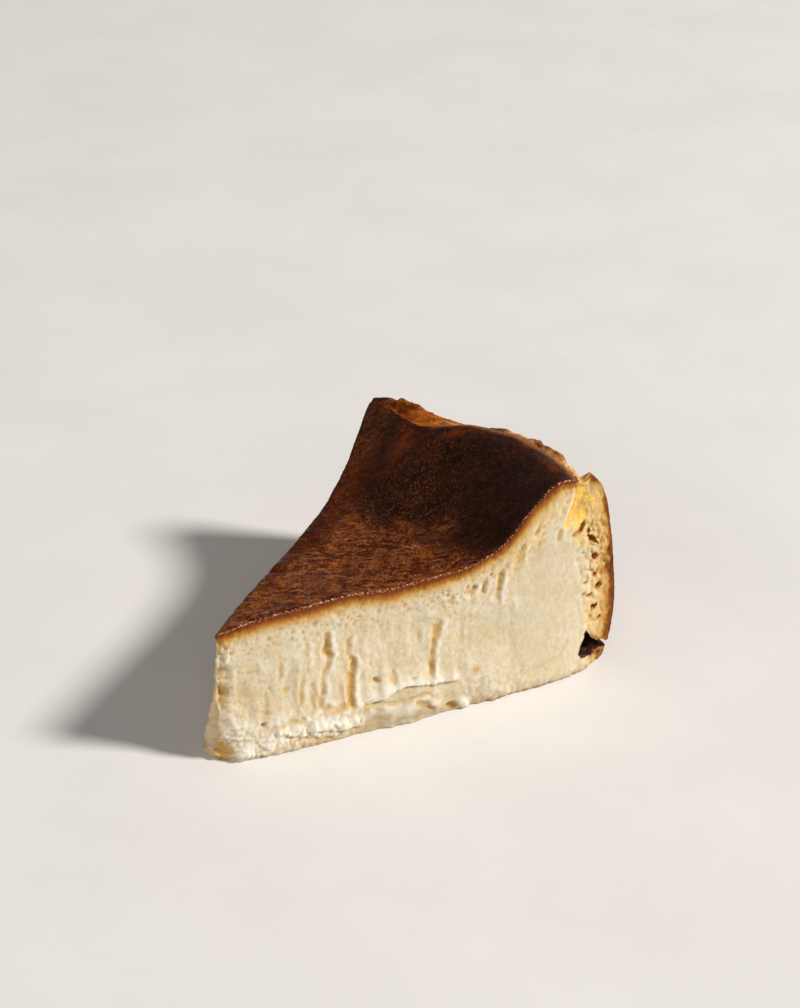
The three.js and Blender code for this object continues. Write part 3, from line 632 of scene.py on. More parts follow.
def slice_arrays():
    """Points, faces, each face's material and per-point values of the slice's skin."""
    columns = RISE_COLUMNS + RIM_COLUMNS
    i_near = np.arange(columns)
    t_wall = -1 + 2 * np.arange(WALL_COLUMNS) / WALL_COLUMNS
    i_far = np.arange(columns, 0, -1)
    t_tip = 1 - 2 * np.arange(POINT_COLUMNS) / POINT_COLUMNS
    ring_i = np.concatenate([i_near, np.full(WALL_COLUMNS, columns), i_far, np.zeros(POINT_COLUMNS)])
    ring_t = np.concatenate([np.full(columns, -1.0), t_wall, np.ones(columns), t_tip])
    count = len(ring_i)
    top0 = column_radius(ring_i, ring_t)
    top = top_height(top0, ring_t)
    low_climb = (np.arange(LOW_ROWS) / LOW_ROWS)[:, None] ** 1.06 * (1 - (EDGE_DEPTHS[0] + 0.3) / top)
    climb = np.concatenate([low_climb, 1 - np.array(EDGE_DEPTHS)[:, None] / top])
    rows = len(climb) - 1
    grid, values = side_point(*(np.broadcast_to(ring, climb.shape) for ring in (top0, ring_t)), climb)
    # The rows at the edge follow the skin's relief, more and more.
    edge_rows = np.linspace(0, 1, len(EDGE_DEPTHS) + 1)[1:, None]
    grid[-len(EDGE_DEPTHS) :, :, 2] += edge_rows * (top_detail(top0, ring_t) * 0.6 - 0.1)
    points = [grid.reshape(-1, 3)]
    data = {k: [v.reshape(-1)] for k, v in values.items()}

    ring_kind = np.full(count, CUSTARD)
    ring_kind[columns : columns + WALL_COLUMNS] = WALL_SKIN
    rind_kind = np.where((ring_kind == CUSTARD) & (top0 < crest_radius(ring_t)), TOP_SKIN, ring_kind)
    row = np.arange(rows)[:, None]
    here = row * count + np.arange(count)
    after = row * count + (np.arange(count) + 1) % count
    quads = np.stack([here, after, after + count, here + count], -1).reshape(-1, 4)
    kinds = [np.where(row >= rows - RIND_ROWS, rind_kind, ring_kind).ravel()]

    total = (rows + 1) * count

    def strips_for(step, base_row, place):
        """Rows of point numbers across the slice, and the new points among them."""
        nonlocal total
        strips, new_s, new_t = [], [], []
        for i in range(columns + 1):
            if i == 0:
                ids = [base_row + (count - j) % count for j in range(POINT_COLUMNS + 1)]
                ids[0] = base_row
            elif i == columns:
                ids = [base_row + columns + j for j in range(WALL_COLUMNS + 1)]
            else:
                width = 2 * HALF * float(column_radius(np.array(i), np.array(0.0)))
                parts = max(2, round(width / step))
                ts = -1 + 2 * np.arange(1, parts) / parts
                new_t.append(ts)
                new_s.append(column_radius(np.full(len(ts), i), ts))
                ids = [base_row + i, *range(total, total + len(ts)), base_row + 2 * columns + WALL_COLUMNS - i]
                total += len(ts)
            strips.append(ids)
        return strips, place(np.concatenate(new_s), np.concatenate(new_t))

    def place_top(s, t):
        to_edge = (1 - np.abs(t)) * HALF * s
        relief = top_detail(s, t)
        z = top_height(s, t) + relief * (ease(to_edge, 1.2) * 0.4 + 0.6) - 0.1 * (1 - ease(to_edge, 1.1))
        a = t * HALF
        return np.stack([s * np.cos(a), s * np.sin(a), z], -1), dict(
            skin_depth=np.zeros_like(s), wall_depth=shoulder_radius(t) - s, relief=relief, along=s, across=t
        )

    def place_base(s, t):
        p, v = side_point(s, t, np.zeros_like(s))
        p[:, 2] = 0
        return p, v

    triangles = []
    for base_row, step, place, flip, kind in (
        (rows * count, TOP_STEP, place_top, False, TOP_SKIN),
        (0, BASE_STEP, place_base, True, UNDERSIDE),
    ):
        strips, (p, v) = strips_for(step, base_row, place)
        before = len(triangles)
        zip_strips(strips, triangles, flip)
        kinds.append(np.full(len(triangles) - before, kind))
        points.append(p)
        for name in data:
            data[name].append(v[name])
    points = np.concatenate(points)
    data = {k: np.concatenate(v) for k, v in data.items()}
    return points, quads, np.array(triangles), np.concatenate(kinds), data


def to_frame(points):
    """Millimetres about the cake's axis into metres in the part's frame, kept inside the CAD box."""
    return np.clip((points + AXIS_SHIFT) * MM, cad_low, cad_high)


def put(name, data):
    """A new object in the scene."""
    made = bpy.data.objects.new(name, data)
    bpy.context.scene.collection.objects.link(made)
    return made


def make_mesh(name, points, quads, triangles):
    mesh = bpy.data.meshes.new(name)
    mesh.vertices.add(len(points))
    mesh.vertices.foreach_set("co", to_frame(points).astype(np.float32).ravel())
    loops = np.concatenate([quads.ravel(), triangles.ravel()]).astype(np.int32)
    sizes = np.concatenate([np.full(len(quads), 4), np.full(len(triangles), 3)])
    starts = np.concatenate([[0], np.cumsum(sizes)[:-1]]).astype(np.int32)
    mesh.loops.add(len(loops))
    mesh.loops.foreach_set("vertex_index", loops)
    mesh.polygons.add(len(sizes))
    mesh.polygons.foreach_set("loop_start", starts)
    mesh.update(calc_edges=True)
    mesh.validate()
    return put(name, mesh)


# ---- Cuts into the near face ----
# The dark notch a fold of paper left at the foot of the wall.
NOTCH_HEART, NOTCH_DEPTH = (112, 5.2), 9.0
NOTCH_OUTLINE = [
    (104, 5.6), (105, 4.1), (108.9, 3.4), (112.5, 3.9), (121, 4.2), (121, 5.6), (114.6, 5.8), (111.3, 6.8),
    (109.4, 8.3), (107.4, 11.4), (105.6, 8.4),
]
HOLE_CORNERS = 26
CUTTER_PROUD = 9.0  # how far an opening's solid stands out of the cut, so that it surely meets it


def refined(outline, step):
    """More points along a closed outline, pushed about a little so that its edge looks torn."""
    fine = []
    for (s0, z0), (s1, z1) in zip(outline, outline[1:] + outline[:1]):
        parts = max(1, round(math.hypot(s1 - s0, z1 - z0) / step))
        fine += [(mix(s0, s1, k / parts), mix(z0, z1, k / parts)) for k in range(parts)]
    fine = np.array(fine)
    fine[:, 0] += 0.22 * noise(fine[:, 0] / 0.9, fine[:, 1] / 0.9, 151)
    fine[:, 1] += 0.22 * noise(fine[:, 0] / 0.9, fine[:, 1] / 0.9, 152)
    return fine


def hole_outline(at, up, half_w, half_h, turn, index):
    angle = 2 * np.pi * np.arange(HOLE_CORNERS) / HOLE_CORNERS
    wobble = 1 + 0.42 * noise(1.9 * np.cos(angle) + 3 * index, 1.9 * np.sin(angle), 153)
    wobble = wobble + 0.16 * noise(5 * np.cos(angle) + 3 * index, 5 * np.sin(angle), 155)
    u, v = turned(half_w * wobble * np.cos(angle), half_h * wobble * np.sin(angle), turn)
    return np.stack([at + u, up + v], 1)


def opening(outline, heart, depth, shrink):
    """A closed solid drawn on the near cut that narrows towards heart as it goes in."""
    heart = np.array(heart)
    loops = []
    for share in (-1, 0, 0.12, 0.28, 0.45, 0.62, 0.8, 0.93, 1):
        inward = -CUTTER_PROUD if share < 0 else depth * share
        size = 1 if share <= 0 else mix(1, shrink, share**1.6)
        ring = heart + (outline - heart) * size
        if share > 0:
            ring = ring + 0.18 * size * noise(ring / 0.8 + 5 * share, ring[:, ::-1] / 0.9, 154)
        x = ring[:, 0] * math.cos(HALF) - NEAR_OUT[0] * inward
        y = -ring[:, 0] * math.sin(HALF) - NEAR_OUT[1] * inward
        loops.append(np.stack([x, y, ring[:, 1]], 1))
    n = len(outline)
    faces = [tuple(range(n))[::-1], tuple(range((len(loops) - 1) * n, len(loops) * n))]
    for level in range(len(loops) - 1):
        for k in range(n):
            a, b = level * n + k, level * n + (k + 1) % n
            faces.append((a, b, b + n, a + n))
    return np.concatenate(loops), faces


def cut_openings(piece):
    """Take the notch and the larger holes out of the slice."""
    points, faces, kinds = [], [], []
    shapes = [(refined(NOTCH_OUTLINE, 0.7), NOTCH_HEART, NOTCH_DEPTH, 0.3, WALL_SKIN)]
    for index, (at, up, half_w, half_h, turn, deep) in enumerate(HOLES):
        shapes.append((hole_outline(at, up, half_w, half_h, turn, index), (at, up), deep, 0.25, CUSTARD))
    for outline, heart, depth, shrink, kind in shapes:
        made, sides = opening(outline, heart, depth, shrink)
        start = sum(len(p) for p in points)
        points.append(made)
        faces += [tuple(start + i for i in face) for face in sides]
        kinds += [kind] * len(sides)
    mesh = bpy.data.meshes.new("openings")
    mesh.from_pydata(((np.concatenate(points) + AXIS_SHIFT) * MM).tolist(), [], faces)
    mesh.polygons.foreach_set("material_index", kinds)
    shaped = bmesh.new()
    shaped.from_mesh(mesh)
    bmesh.ops.recalc_face_normals(shaped, faces=shaped.faces)
    shaped.to_mesh(mesh)
    shaped.free()
    cutter = put("openings", mesh)
    for material in piece.data.materials:
        mesh.materials.append(material)
    modifier = piece.modifiers.new("openings", "BOOLEAN")
    modifier.operation = "DIFFERENCE"
    modifier.solver = "MANIFOLD"
    modifier.object = cutter
    graph = bpy.context.evaluated_depsgraph_get()
    cut = bpy.data.meshes.new_from_object(piece.evaluated_get(graph))
    piece.modifiers.clear()
    piece.data = cut
    bpy.data.objects.remove(cutter)
    keep_largest(cut)


def keep_largest(mesh):
    """Drop the loose crumbs that cutting has freed."""
    shaped = bmesh.new()
    shaped.from_mesh(mesh)
    unseen = set(shaped.verts)
    islands = []
    while unseen:
        island, edge = [], [unseen.pop()]
        while edge:
            vertex = edge.pop()
            island.append(vertex)
            beside = {link.other_vert(vertex) for link in vertex.link_edges} & unseen
            unseen -= beside
            edge += beside
        islands.append(island)
    islands.sort(key=len)
    for island in islands[:-1]:
        bmesh.ops.delete(shaped, geom=island, context="VERTS")
    shaped.to_mesh(mesh)
    shaped.free()


# ---- Materials ----
class Graph:
    """Short calls for building a node material. Coordinates are millimetres in the part's frame."""

    def __init__(self, name, **settings):
        self.material = bpy.data.materials.new(name)
        self.material.use_nodes = True
        self.tree = self.material.node_tree
        self.shader = self.tree.nodes["Principled BSDF"]
        for key, value in settings.items():
            self.set(self.shader.inputs[key.replace("_", " ")], value)
        where = self.node("TexCoord").outputs["Object"]
        self.place = self.node("Mapping", Vector=where, Scale=(1000, 1000, 1000)).outputs["Vector"]

    def set(self, socket, value):
        if isinstance(value, bpy.types.NodeSocket):
            self.tree.links.new(value, socket)
        else:
            socket.default_value = value

    def node(self, kind, settings=(), **inputs):
        """A new node, with its settings made before its inputs are set."""
        made = self.tree.nodes.new("ShaderNode" + kind)
        for name, value in settings:
            setattr(made, name, value)
        for name, value in inputs.items():
            self.set(made.inputs[name.replace("_", " ")], value)
        return made

    def value(self, name):
        return self.node("Attribute", [("attribute_name", name)]).outputs["Fac"]

    def stretched(self, x, y, z, turn=0.0):
        """Coordinates that draw textures out by these factors, the first two at turn degrees about Z."""
        made = self.node("Mapping", [("vector_type", "TEXTURE")], Vector=self.place, Scale=(x, y, z))
        made.inputs["Rotation"].default_value = (0, 0, math.radians(turn))
        return made.outputs["Vector"]

    def noise(self, size, detail=3.0, rough=0.55, where=None, distort=0.0):
        shape = dict(Scale=1 / size, Detail=detail, Roughness=rough, Distortion=distort)
        return self.node("TexNoise", Vector=where or self.place, **shape).outputs["Fac"]

    def grains(self, size):
        kind = [("feature", "SMOOTH_F1")]
        made = self.node("TexVoronoi", kind, Vector=self.place, Scale=1 / size, Smoothness=0.35)
        return made.outputs["Distance"]

    def math(self, kind, a, b, clamp=False):
        made = self.node("Math", [("operation", kind), ("use_clamp", clamp)])
        self.set(made.inputs[0], a)
        self.set(made.inputs[1], b)
        return made.outputs[0]

    def add(self, *parts):
        """Sum of (value, weight) pairs."""
        total = None
        for value, weight in parts:
            part = self.math("MULTIPLY", value, weight)
            total = part if total is None else self.math("ADD", total, part)
        return total

    def times(self, a, b):
        return self.math("MULTIPLY", a, b)

    def span(self, value, low, high, to_low=0.0, to_high=1.0):
        """A value's smooth way from low to high."""
        ends = dict(From_Min=low, From_Max=high, To_Min=to_low, To_Max=to_high)
        made = self.node("MapRange", [("interpolation_type", "SMOOTHSTEP")], Value=value, **ends)
        return made.outputs["Result"]

    def ramp(self, value, stops):
        """Colour and share by value. Stops are (at, share, colour), in order."""
        reach = stops[-1][0]
        made = self.node("ValToRGB", Fac=self.math("DIVIDE", value, reach))
        marks = made.color_ramp.elements
        marks.remove(marks[1])
        marks[0].position, marks[0].color = stops[0][0] / reach, (*stops[0][2], stops[0][1])
        for at, share, colour in stops[1:]:
            marks.new(at / reach).color = (*colour, share)
        return made.outputs["Color"], made.outputs["Alpha"]

    def blend(self, value, low, high, a, b):
        """Colour a up to a low value, colour b from a high one."""
        return self.mix(self.span(value, low, high), a, b)

    def tint(self, base, value, low, high, share, colour):
        """The base with a share of another colour where a value passes from low to high."""
        return self.mix(self.times(self.span(value, low, high), share), base, colour)

    def mix(self, k, a, b):
        made = self.node("Mix", [("data_type", "RGBA")], Factor=k)
        for socket, colour in ((made.inputs[6], a), (made.inputs[7], b)):
            self.set(socket, (*colour, 1) if isinstance(colour, tuple) else colour)
        return made.outputs[2]

    def bump(self, height, distance):
        made = self.node("Bump", Strength=1, Distance=distance * MM, Height=height)
        self.set(self.shader.inputs["Normal"], made.outputs["Normal"])

    def finish(self, colour, rough):
        self.set(self.shader.inputs["Base Color"], colour)
        self.set(self.shader.inputs["Roughness"], rough)
        return self.material


def top_skin():
    g = Graph("browned_top", Specular_IOR_Level=0.2)
    g.shader.inputs["Specular Tint"].default_value = (1.0, 0.45, 0.3, 1)
    large = g.noise(8, 3, 0.6)
    middle = g.noise(2.2, 3, 0.6, g.stretched(1.7, 1, 1, WRINKLE_TURN))
    fine = g.noise(0.75, 3, 0.65)
    streak = g.noise(1.2, 4, 0.74, g.stretched(2.3, 1, 1, WRINKLE_TURN), 0.6)
    tone = g.add((large, 0.45), (middle, 0.55))
    low = g.blend(tone, 0.41, 0.59, (0.074, 0.0088, 0.0006), (0.186, 0.043, 0.0076))
    # Painted sheen: lighter streaks along the wrinkles.
    low = g.tint(low, streak, 0.51, 0.63, 0.78, (0.34, 0.135, 0.06))
    low = g.tint(low, streak, 0.47, 0.36, 0.92, (0.03, 0.0036, 0.0003))
    glow = g.times(g.span(g.noise(4.0, 3, 0.7), 0.53, 0.64), g.span(fine, 0.4, 0.58))
    low = g.mix(g.times(glow, 0.74), low, (0.42, 0.105, 0.009))
    sparks = g.times(g.span(fine, 0.55, 0.67), g.span(middle, 0.42, 0.6))
    low = g.mix(g.times(sparks, 0.75), low, (0.62, 0.25, 0.066))
    dark = g.blend(tone, 0.4, 0.6, (0.008, 0.0012, 0.0001), (0.034, 0.0066, 0.001))
    # Painted sheen: neutral specks over the dark swelling.
    dark = g.tint(dark, fine, 0.5, 0.64, 0.6, (0.08, 0.031, 0.018))
    dark = g.mix(g.times(sparks, 0.2), dark, (0.24, 0.07, 0.02))
    burnt = g.math("ADD", g.value("bulge"), g.times(g.math("SUBTRACT", tone, 0.5), 0.9), clamp=True)
    colour = g.blend(burnt, 0.08, 0.92, low, dark)
    ember = g.blend(middle, 0.35, 0.65, (0.068, 0.008, 0.0005), (0.18, 0.033, 0.003))
    colour = g.mix(g.value("ember"), colour, ember)
    # Painted glow of light through the skin's thin edges, in reddish brown.
    painted_edge_glow = g.blend(middle, 0.4, 0.65, (0.036, 0.0055, 0.0003), (0.086, 0.016, 0.0016))
    colour = g.mix(g.value("edge"), colour, painted_edge_glow)
    # Painted highlight: a lighter line along the crest's edge.
    colour = g.mix(g.value("painted_crest_highlight"), colour, (0.42, 0.17, 0.085))
    glints = g.times(g.span(g.noise(0.42, 1, 0.5), 0.67, 0.73), 0.45)
    colour = g.mix(glints, colour, (0.4, 0.2, 0.12))
    gold = g.blend(middle, 0.35, 0.65, (0.9, 0.43, 0.09), (0.96, 0.66, 0.33))
    orange = g.blend(middle, 0.35, 0.65, (0.36, 0.074, 0.008), (0.6, 0.175, 0.02))
    deep = g.blend(middle, 0.35, 0.65, (0.105, 0.016, 0.0012), (0.36, 0.095, 0.01))
    gold = g.blend(g.value("amber"), 0.0, 0.45, gold, orange)
    gold = g.blend(g.value("amber"), 0.5, 0.95, gold, deep)
    both = g.add((fine, 0.5), (middle, 0.5))
    crust = g.blend(both, 0.38, 0.62, (0.12, 0.025, 0.003), (0.46, 0.15, 0.022))
    colour = g.mix(g.value("torn"), colour, g.mix(g.value("lip"), gold, crust))
    rind = g.blend(fine, 0.4, 0.65, (0.11, 0.02, 0.0025), (0.2, 0.048, 0.007))
    colour = g.blend(g.value("skin_depth"), 0.05, 0.35, colour, rind)
    # Painted glints: tiny light specks along the skin's edge at the near cut.
    beads = g.times(g.value("painted_bead_glints"), g.span(g.noise(0.5, 1, 0.5), 0.53, 0.6))
    colour = g.mix(beads, colour, (0.7, 0.38, 0.25))
    g.bump(g.add((streak, 1.2), (fine, 0.7), (g.grains(0.9), 0.3)), 0.62)
    return g.finish(colour, g.span(middle, 0.3, 0.7, 0.28, 0.44))


def wall_skin():
    g = Graph("browned_wall", Specular_IOR_Level=0.4)
    large = g.noise(9, 3, 0.6)
    middle = g.noise(2.2, 4, 0.65)
    fine = g.noise(0.6, 3, 0.65)
    tall = g.noise(2.2, 3, 0.6, g.stretched(1, 1, 3), 0.8)
    tone = g.add((large, 0.42), (tall, 0.38), (middle, 0.2))
    base = g.blend(tone, 0.4, 0.6, (0.24, 0.073, 0.014), (0.57, 0.265, 0.068))
    base = g.tint(base, tone, 0.54, 0.66, 0.6, (0.7, 0.44, 0.17))
    base = g.tint(base, fine, 0.56, 0.68, 0.5, (0.13, 0.036, 0.009))
    base = g.mix(g.times(g.value("crease"), 0.75), base, (0.12, 0.033, 0.009))
    burnt = g.math("ADD", g.value("burnt"), g.times(g.math("SUBTRACT", tone, 0.5), 2.2), clamp=True)
    dark = g.blend(middle, 0.4, 0.62, (0.026, 0.0075, 0.003), (0.105, 0.028, 0.0075))
    colour = g.mix(burnt, base, dark)
    hollow = g.blend(middle, 0.4, 0.65, (0.02, 0.007, 0.003), (0.11, 0.035, 0.011))
    colour = g.mix(g.value("inside"), colour, hollow)
    g.bump(g.add((tall, 0.5), (fine, 0.5), (middle, 0.6), (g.grains(1.1), 0.35)), 0.42)
    return g.finish(colour, g.span(middle, 0.3, 0.7, 0.42, 0.62))


# The browning of the cut's edges: depth in millimetres, share of the colour, colour.
SKIN_BANDS = [
    (0, 1, (0.165, 0.038, 0.006)), (0.6, 1, (0.155, 0.034, 0.0045)),
    (1.05, 1, (0.19, 0.042, 0.0042)), (1.4, 1, (0.24, 0.062, 0.0045)),
    (1.75, 1, (0.305, 0.096, 0.0065)), (2.1, 1, (0.355, 0.13, 0.01)),
    (2.5, 1, (0.405, 0.175, 0.019)), (3, 0.95, (0.48, 0.25, 0.05)),
    (3.5, 0.85, (0.53, 0.315, 0.09)), (4.2, 0.7, (0.56, 0.365, 0.14)),
    (5.2, 0.35, (0.59, 0.43, 0.215)), (7, 0, (0.61, 0.51, 0.34)),
]
WALL_BANDS = [
    (0, 1, (0.105, 0.032, 0.0065)), (0.5, 1, (0.15, 0.046, 0.007)),
    (1.05, 1, (0.2, 0.058, 0.006)), (1.4, 1, (0.225, 0.066, 0.0065)),
    (1.75, 1, (0.3, 0.096, 0.011)), (2.1, 1, (0.4, 0.157, 0.023)),
    (2.5, 0.95, (0.48, 0.23, 0.042)), (3, 0.9, (0.565, 0.305, 0.074)),
    (4, 0.8, (0.62, 0.37, 0.115)), (6, 0.55, (0.6, 0.385, 0.145)),
    (9, 0, (0.61, 0.47, 0.25)),
]


def custard():
    g = Graph("cream_custard", Subsurface_Weight=0.6, Specular_IOR_Level=0.18)
    g.shader.inputs["Subsurface Radius"].default_value = (1.0, 0.6, 0.3)
    g.shader.inputs["Subsurface Scale"].default_value = 0.0017
    large = g.noise(7, 3, 0.5)
    middle = g.noise(1.5, 3, 0.6)
    fine = g.noise(0.5, 3, 0.65)
    tone = g.add((large, 0.45), (middle, 0.55))
    cream = g.blend(tone, 0.38, 0.62, (0.595, 0.49, 0.315), (0.64, 0.56, 0.405))
    mottle = g.noise(1.0, 3, 0.6, g.stretched(1, 1, 1.8))
    cream = g.tint(cream, mottle, 0.47, 0.36, 0.45, (0.6, 0.45, 0.215))
    cream = g.tint(cream, mottle, 0.53, 0.64, 0.5, (0.67, 0.615, 0.51))
    cream = g.mix(g.value("shade"), cream, (0.385, 0.292, 0.168))
    # Painted highlight on proud lumps and ridges.
    cream = g.mix(g.value("painted_highlight"), cream, (0.74, 0.695, 0.595))
    # Painted shade in grooves, hollows, sunken relief and on the point's side; the openings' insides are tan
    # too.
    cream = g.mix(g.value("tan"), cream, (0.56, 0.31, 0.06))
    # Painted shade: darker tan in the pores.
    cream = g.mix(g.value("pored"), cream, (0.5, 0.315, 0.085))
    gold = g.blend(middle, 0.35, 0.65, (0.87, 0.45, 0.022), (0.92, 0.66, 0.17))
    cream = g.mix(g.value("gold"), cream, gold)
    wobble = g.times(g.math("SUBTRACT", g.add((middle, 0.6), (large, 0.4)), 0.5), 2.4)
    for name, stops in (("wall_depth", WALL_BANDS), ("skin_depth", SKIN_BANDS)):
        band, share = g.ramp(g.math("ADD", g.value(name), wobble), stops)
        cream = g.mix(share, cream, band)
    cream = g.mix(g.times(g.value("inside"), 0.65), cream, (0.46, 0.175, 0.026))
    scorched = g.blend(middle, 0.4, 0.6, (0.11, 0.032, 0.009), (0.38, 0.15, 0.035))
    cream = g.mix(g.value("scorch"), cream, scorched)
    g.bump(g.times(g.add((middle, 0.4), (fine, 0.45), (g.grains(0.8), 0.4)), g.value("grain")), 0.26)
    return g.finish(cream, 0.5)


def underside():
    g = Graph("baked_underside", Specular_IOR_Level=0.35)
    large = g.noise(10, 4, 0.6)
    middle = g.noise(2.4, 4, 0.65)
    fine = g.noise(0.8, 3, 0.6)
    tone = g.add((large, 0.55), (middle, 0.45))
    colour = g.blend(tone, 0.38, 0.62, (0.36, 0.15, 0.036), (0.66, 0.42, 0.17))
    colour = g.tint(colour, fine, 0.56, 0.68, 0.5, (0.24, 0.085, 0.02))
    colour = g.mix(g.span(g.value("wall_depth"), 9, 1, 0.0, 0.7), colour, (0.17, 0.05, 0.012))
    g.bump(g.add((middle, 0.6), (fine, 0.4)), 0.3)
    return g.finish(colour, 0.62)


# ---- The slice ----
points, quads, triangles, kinds, data = slice_arrays()
slice_piece = make_mesh("cheesecake", points, quads, triangles)
slice_piece.data.polygons.foreach_set("material_index", kinds.astype(np.int32))
for made in (top_skin(), wall_skin(), custard(), underside()):
    slice_piece.data.materials.append(made)
cut_openings(slice_piece)

mesh = slice_piece.data
count = len(mesh.vertices)
placed = np.empty(count * 3, np.float32)
mesh.vertices.foreach_get("co", placed)
placed = placed.reshape(-1, 3)
np.clip(placed, cad_low, cad_high, out=placed)
mesh.vertices.foreach_set("co", placed.ravel())
tree = KDTree(len(points))
for index, place in enumerate(to_frame(points)):
    tree.insert(place, index)
tree.balance()
_, nearest, away = zip(*(tree.find(place) for place in placed))
moved_off = np.array(away) > OFF_THE_SKIN  # points that only the openings have
data = {k: v[list(nearest)] for k, v in data.items()}
z = placed[:, 2] * 1000
s, t = data["along"], data["across"]
crest, lip = crest_radius(t), lip_radius(t)
arc = t * HALF * s
depth = data["skin_depth"]
relief = np.where(moved_off, 0, data["relief"])
near_face, far_face = t < -ON_A_CUT, t > ON_A_CUT


def give(name, values):
    """A value for each point, which materials read by its name."""
    made = mesh.attributes.new(name, "FLOAT", "POINT")
    made.data.foreach_set("value", values.astype(np.float32))


# What the top reads.
blotch = fractal(s / 9, arc / 9, 121)
bulge = ease(s / crest - 0.6 + 0.05 * blotch, 0.22)
far_side = ease(t - 0.62 + 0.1 * blotch, 0.3)
bulge = bulge * (1 - (0.34 + 0.14 * between(s, 88, 104, 8, 5)) * far_side)
bulge = bulge * (1 - 0.4 * ease(s - crest + 8 + 3 * blotch, 7) * ease(0.2 - t, 0.4))
patch = bump(np.hypot((s - 62) / 17, (arc + 1) / 12), 1) * 0.36
give("bulge", np.clip(bulge + patch, 0, 1))
by_crest = ease(s - crest + 5.5 + 2.5 * blotch, 5) * ease(0.35 - t, 0.2)
ember = 0.75 * bump(np.hypot((s - 98) / 6.5, (arc - 21.5) / 5), 1) + 0.8 * by_crest
ember = ember + 0.35 * ease(t - 0.55, 0.3) * between(s, 72, 98, 10, 10)
ember = ember + 0.65 * bump((t + 1) * HALF * s, 1.5) * bulge
give("ember", np.clip(ember * (0.75 + 0.5 * blotch), 0, 0.9))
# Painted highlight along the crest's edge.
give("painted_crest_highlight", 0.75 * bump(s - crest + 0.5, 0.7) * ease(0.5 - t, 0.3))
torn = ease(s - crest - 0.25 + 0.35 * noise(arc / 1.2, s / 1.2, 122), 0.5)
give("torn", torn * (1 - ease(t - 0.8, 0.12)) * (depth < 0.5))
# Painted light through the lip: its inner face gets less amber, so it stays golden.
inner_lip = bump(s - lip + 2.2 + 0.4 * noise(arc / 3, 0.5, 131), 0.8)
give("amber", np.clip((t - 0.1) / 0.65, 0, 1) * (1 - 0.35 * inner_lip * ease(0.75 - t, 0.1)))
crumbled = 0.5 * noise(arc / 2.2, s / 1.8, 123)
give("lip", ease(s - lip + 1.3 + crumbled, 1.1) * (0.1 + 0.9 * fragments(t)))
to_edge = (1 - np.abs(t)) * HALF * s
# Painted glow of light through the thin edges of the skin: along the cut edges and over the far strip.
glow = bump(to_edge, 1.4) * 0.35
glow = glow + 0.9 * ease(t - 0.56, 0.25) * ease(108 - s, 20) * ease(s - 20, 30)
give("edge", np.clip(glow * (1 - 0.6 * bulge), 0, 0.9))
# Where the painted glints go: along the skin's edge at the near cut.
painted_bead_glints = np.where(depth < 0.01, bump(to_edge, 0.26), bump(depth, 0.26) * near_face)
give("painted_bead_glints", painted_bead_glints * (t < 0) * ease(crest - s, 1.5))

# What the cuts and the wall read.
skinless = ease(s - crest - 0.3, 0.5) * (1 - ease(s - lip + 2.3, 2.3)) * (1 - ease(t - 0.8, 0.12))
thinner = (0.45 * ease(depth, 0.8) + 0.5 * ease(depth - 1.4, 1.4)) * ease(s - 60, 14)
give("skin_depth", np.where(moved_off, OPENING_SKIN, depth + thinner + 6 * skinless * (depth > 0.05)))
ragged = 0.8 * noise(z / 2.6, s / 4, 128) + 0.4 * noise(z / 1.1, s / 2, 129) + 0.5 * ease(36 - z, 8)
thin_wall = 0.6 + 0.75 * ease(z - 33, 8) + 1.6 * ease(z - 43, 6) * ease(data["wall_depth"] - 1.2, 2)
from_wall = data["wall_depth"] + (thin_wall - ragged) * ease(data["wall_depth"], 1.2)
give("wall_depth", np.where(moved_off, OPENING_WALL, from_wall))
curdled = ease(36 - s, 8) * ease(14 - z, 5) * near_face
# Painted shade in recesses: tan where the relief sinks, in the grooves, smears and hollows, and in the far
# cut's tears.
deep = np.clip((-relief - 0.35 + 0.3 * curdled) / 1.1, 0, 1)
grooved = near_tears(s, z)
painted_recess_shade = np.maximum(grooved / 0.95, smears(s, z) / 0.9)
for at, up, half_w, half_h in SHADED_HOLLOWS:
    off = np.hypot((s - at) / half_w, (z - up) / half_h) * (1 + 0.3 * noise(s / 1.1, z / 1.1, 132))
    painted_recess_shade = np.maximum(painted_recess_shade, 0.8 * ease(1.35 - off))
painted_recess_shade = np.where(near_face, painted_recess_shade, 0.5 * far_tears(s, z) * far_face)
lens = ease(fold_low(s) - z + 0.1, 0.6) * ease(z - lens_low(s), 0.5)
lens = lens * between(s, 42, 61, 2, 2)
under_lens = ease(lens_low(s) - z, 0.6) * ease(z - 0.6, 1.5) * between(s, 38, 62, 3, 3)
shade = np.maximum(0.4 * lens, 0.8 * under_lens)
shade = shade + 0.35 * ease(s - 60, 4) * ease(7 - z, 3) * ease(84 - s, 10)
shade = shade + 0.55 * ease(2.6 - z + 0.8 * noise(s / 3, 0.5, 136), 1.6) * ease(s - 5, 5)
give("shade", np.where(near_face, shade * (0.85 + 0.25 * noise(s / 2.4, z / 1.6, 133)), 0))
# Painted shade on the point's left-facing side.
nose = 0.3 * ease(2.6 - s, 2) * ~(near_face | far_face) * (z > 0.05)
give("tan", np.where(moved_off, 0.9, np.clip(0.85 * np.clip(np.maximum(deep, painted_recess_shade), 0, 1) + nose, 0, 1)))
by_crease = ease(z - 43, 2) * ease(depth - 1.5, 1.5) * near_face
line_s = crease_at(z) + 0.35 * noise(z / 1.8, 0.5, 134)
lit = 0.4 * bump(s - line_s + 0.9, 0.9) * by_crease
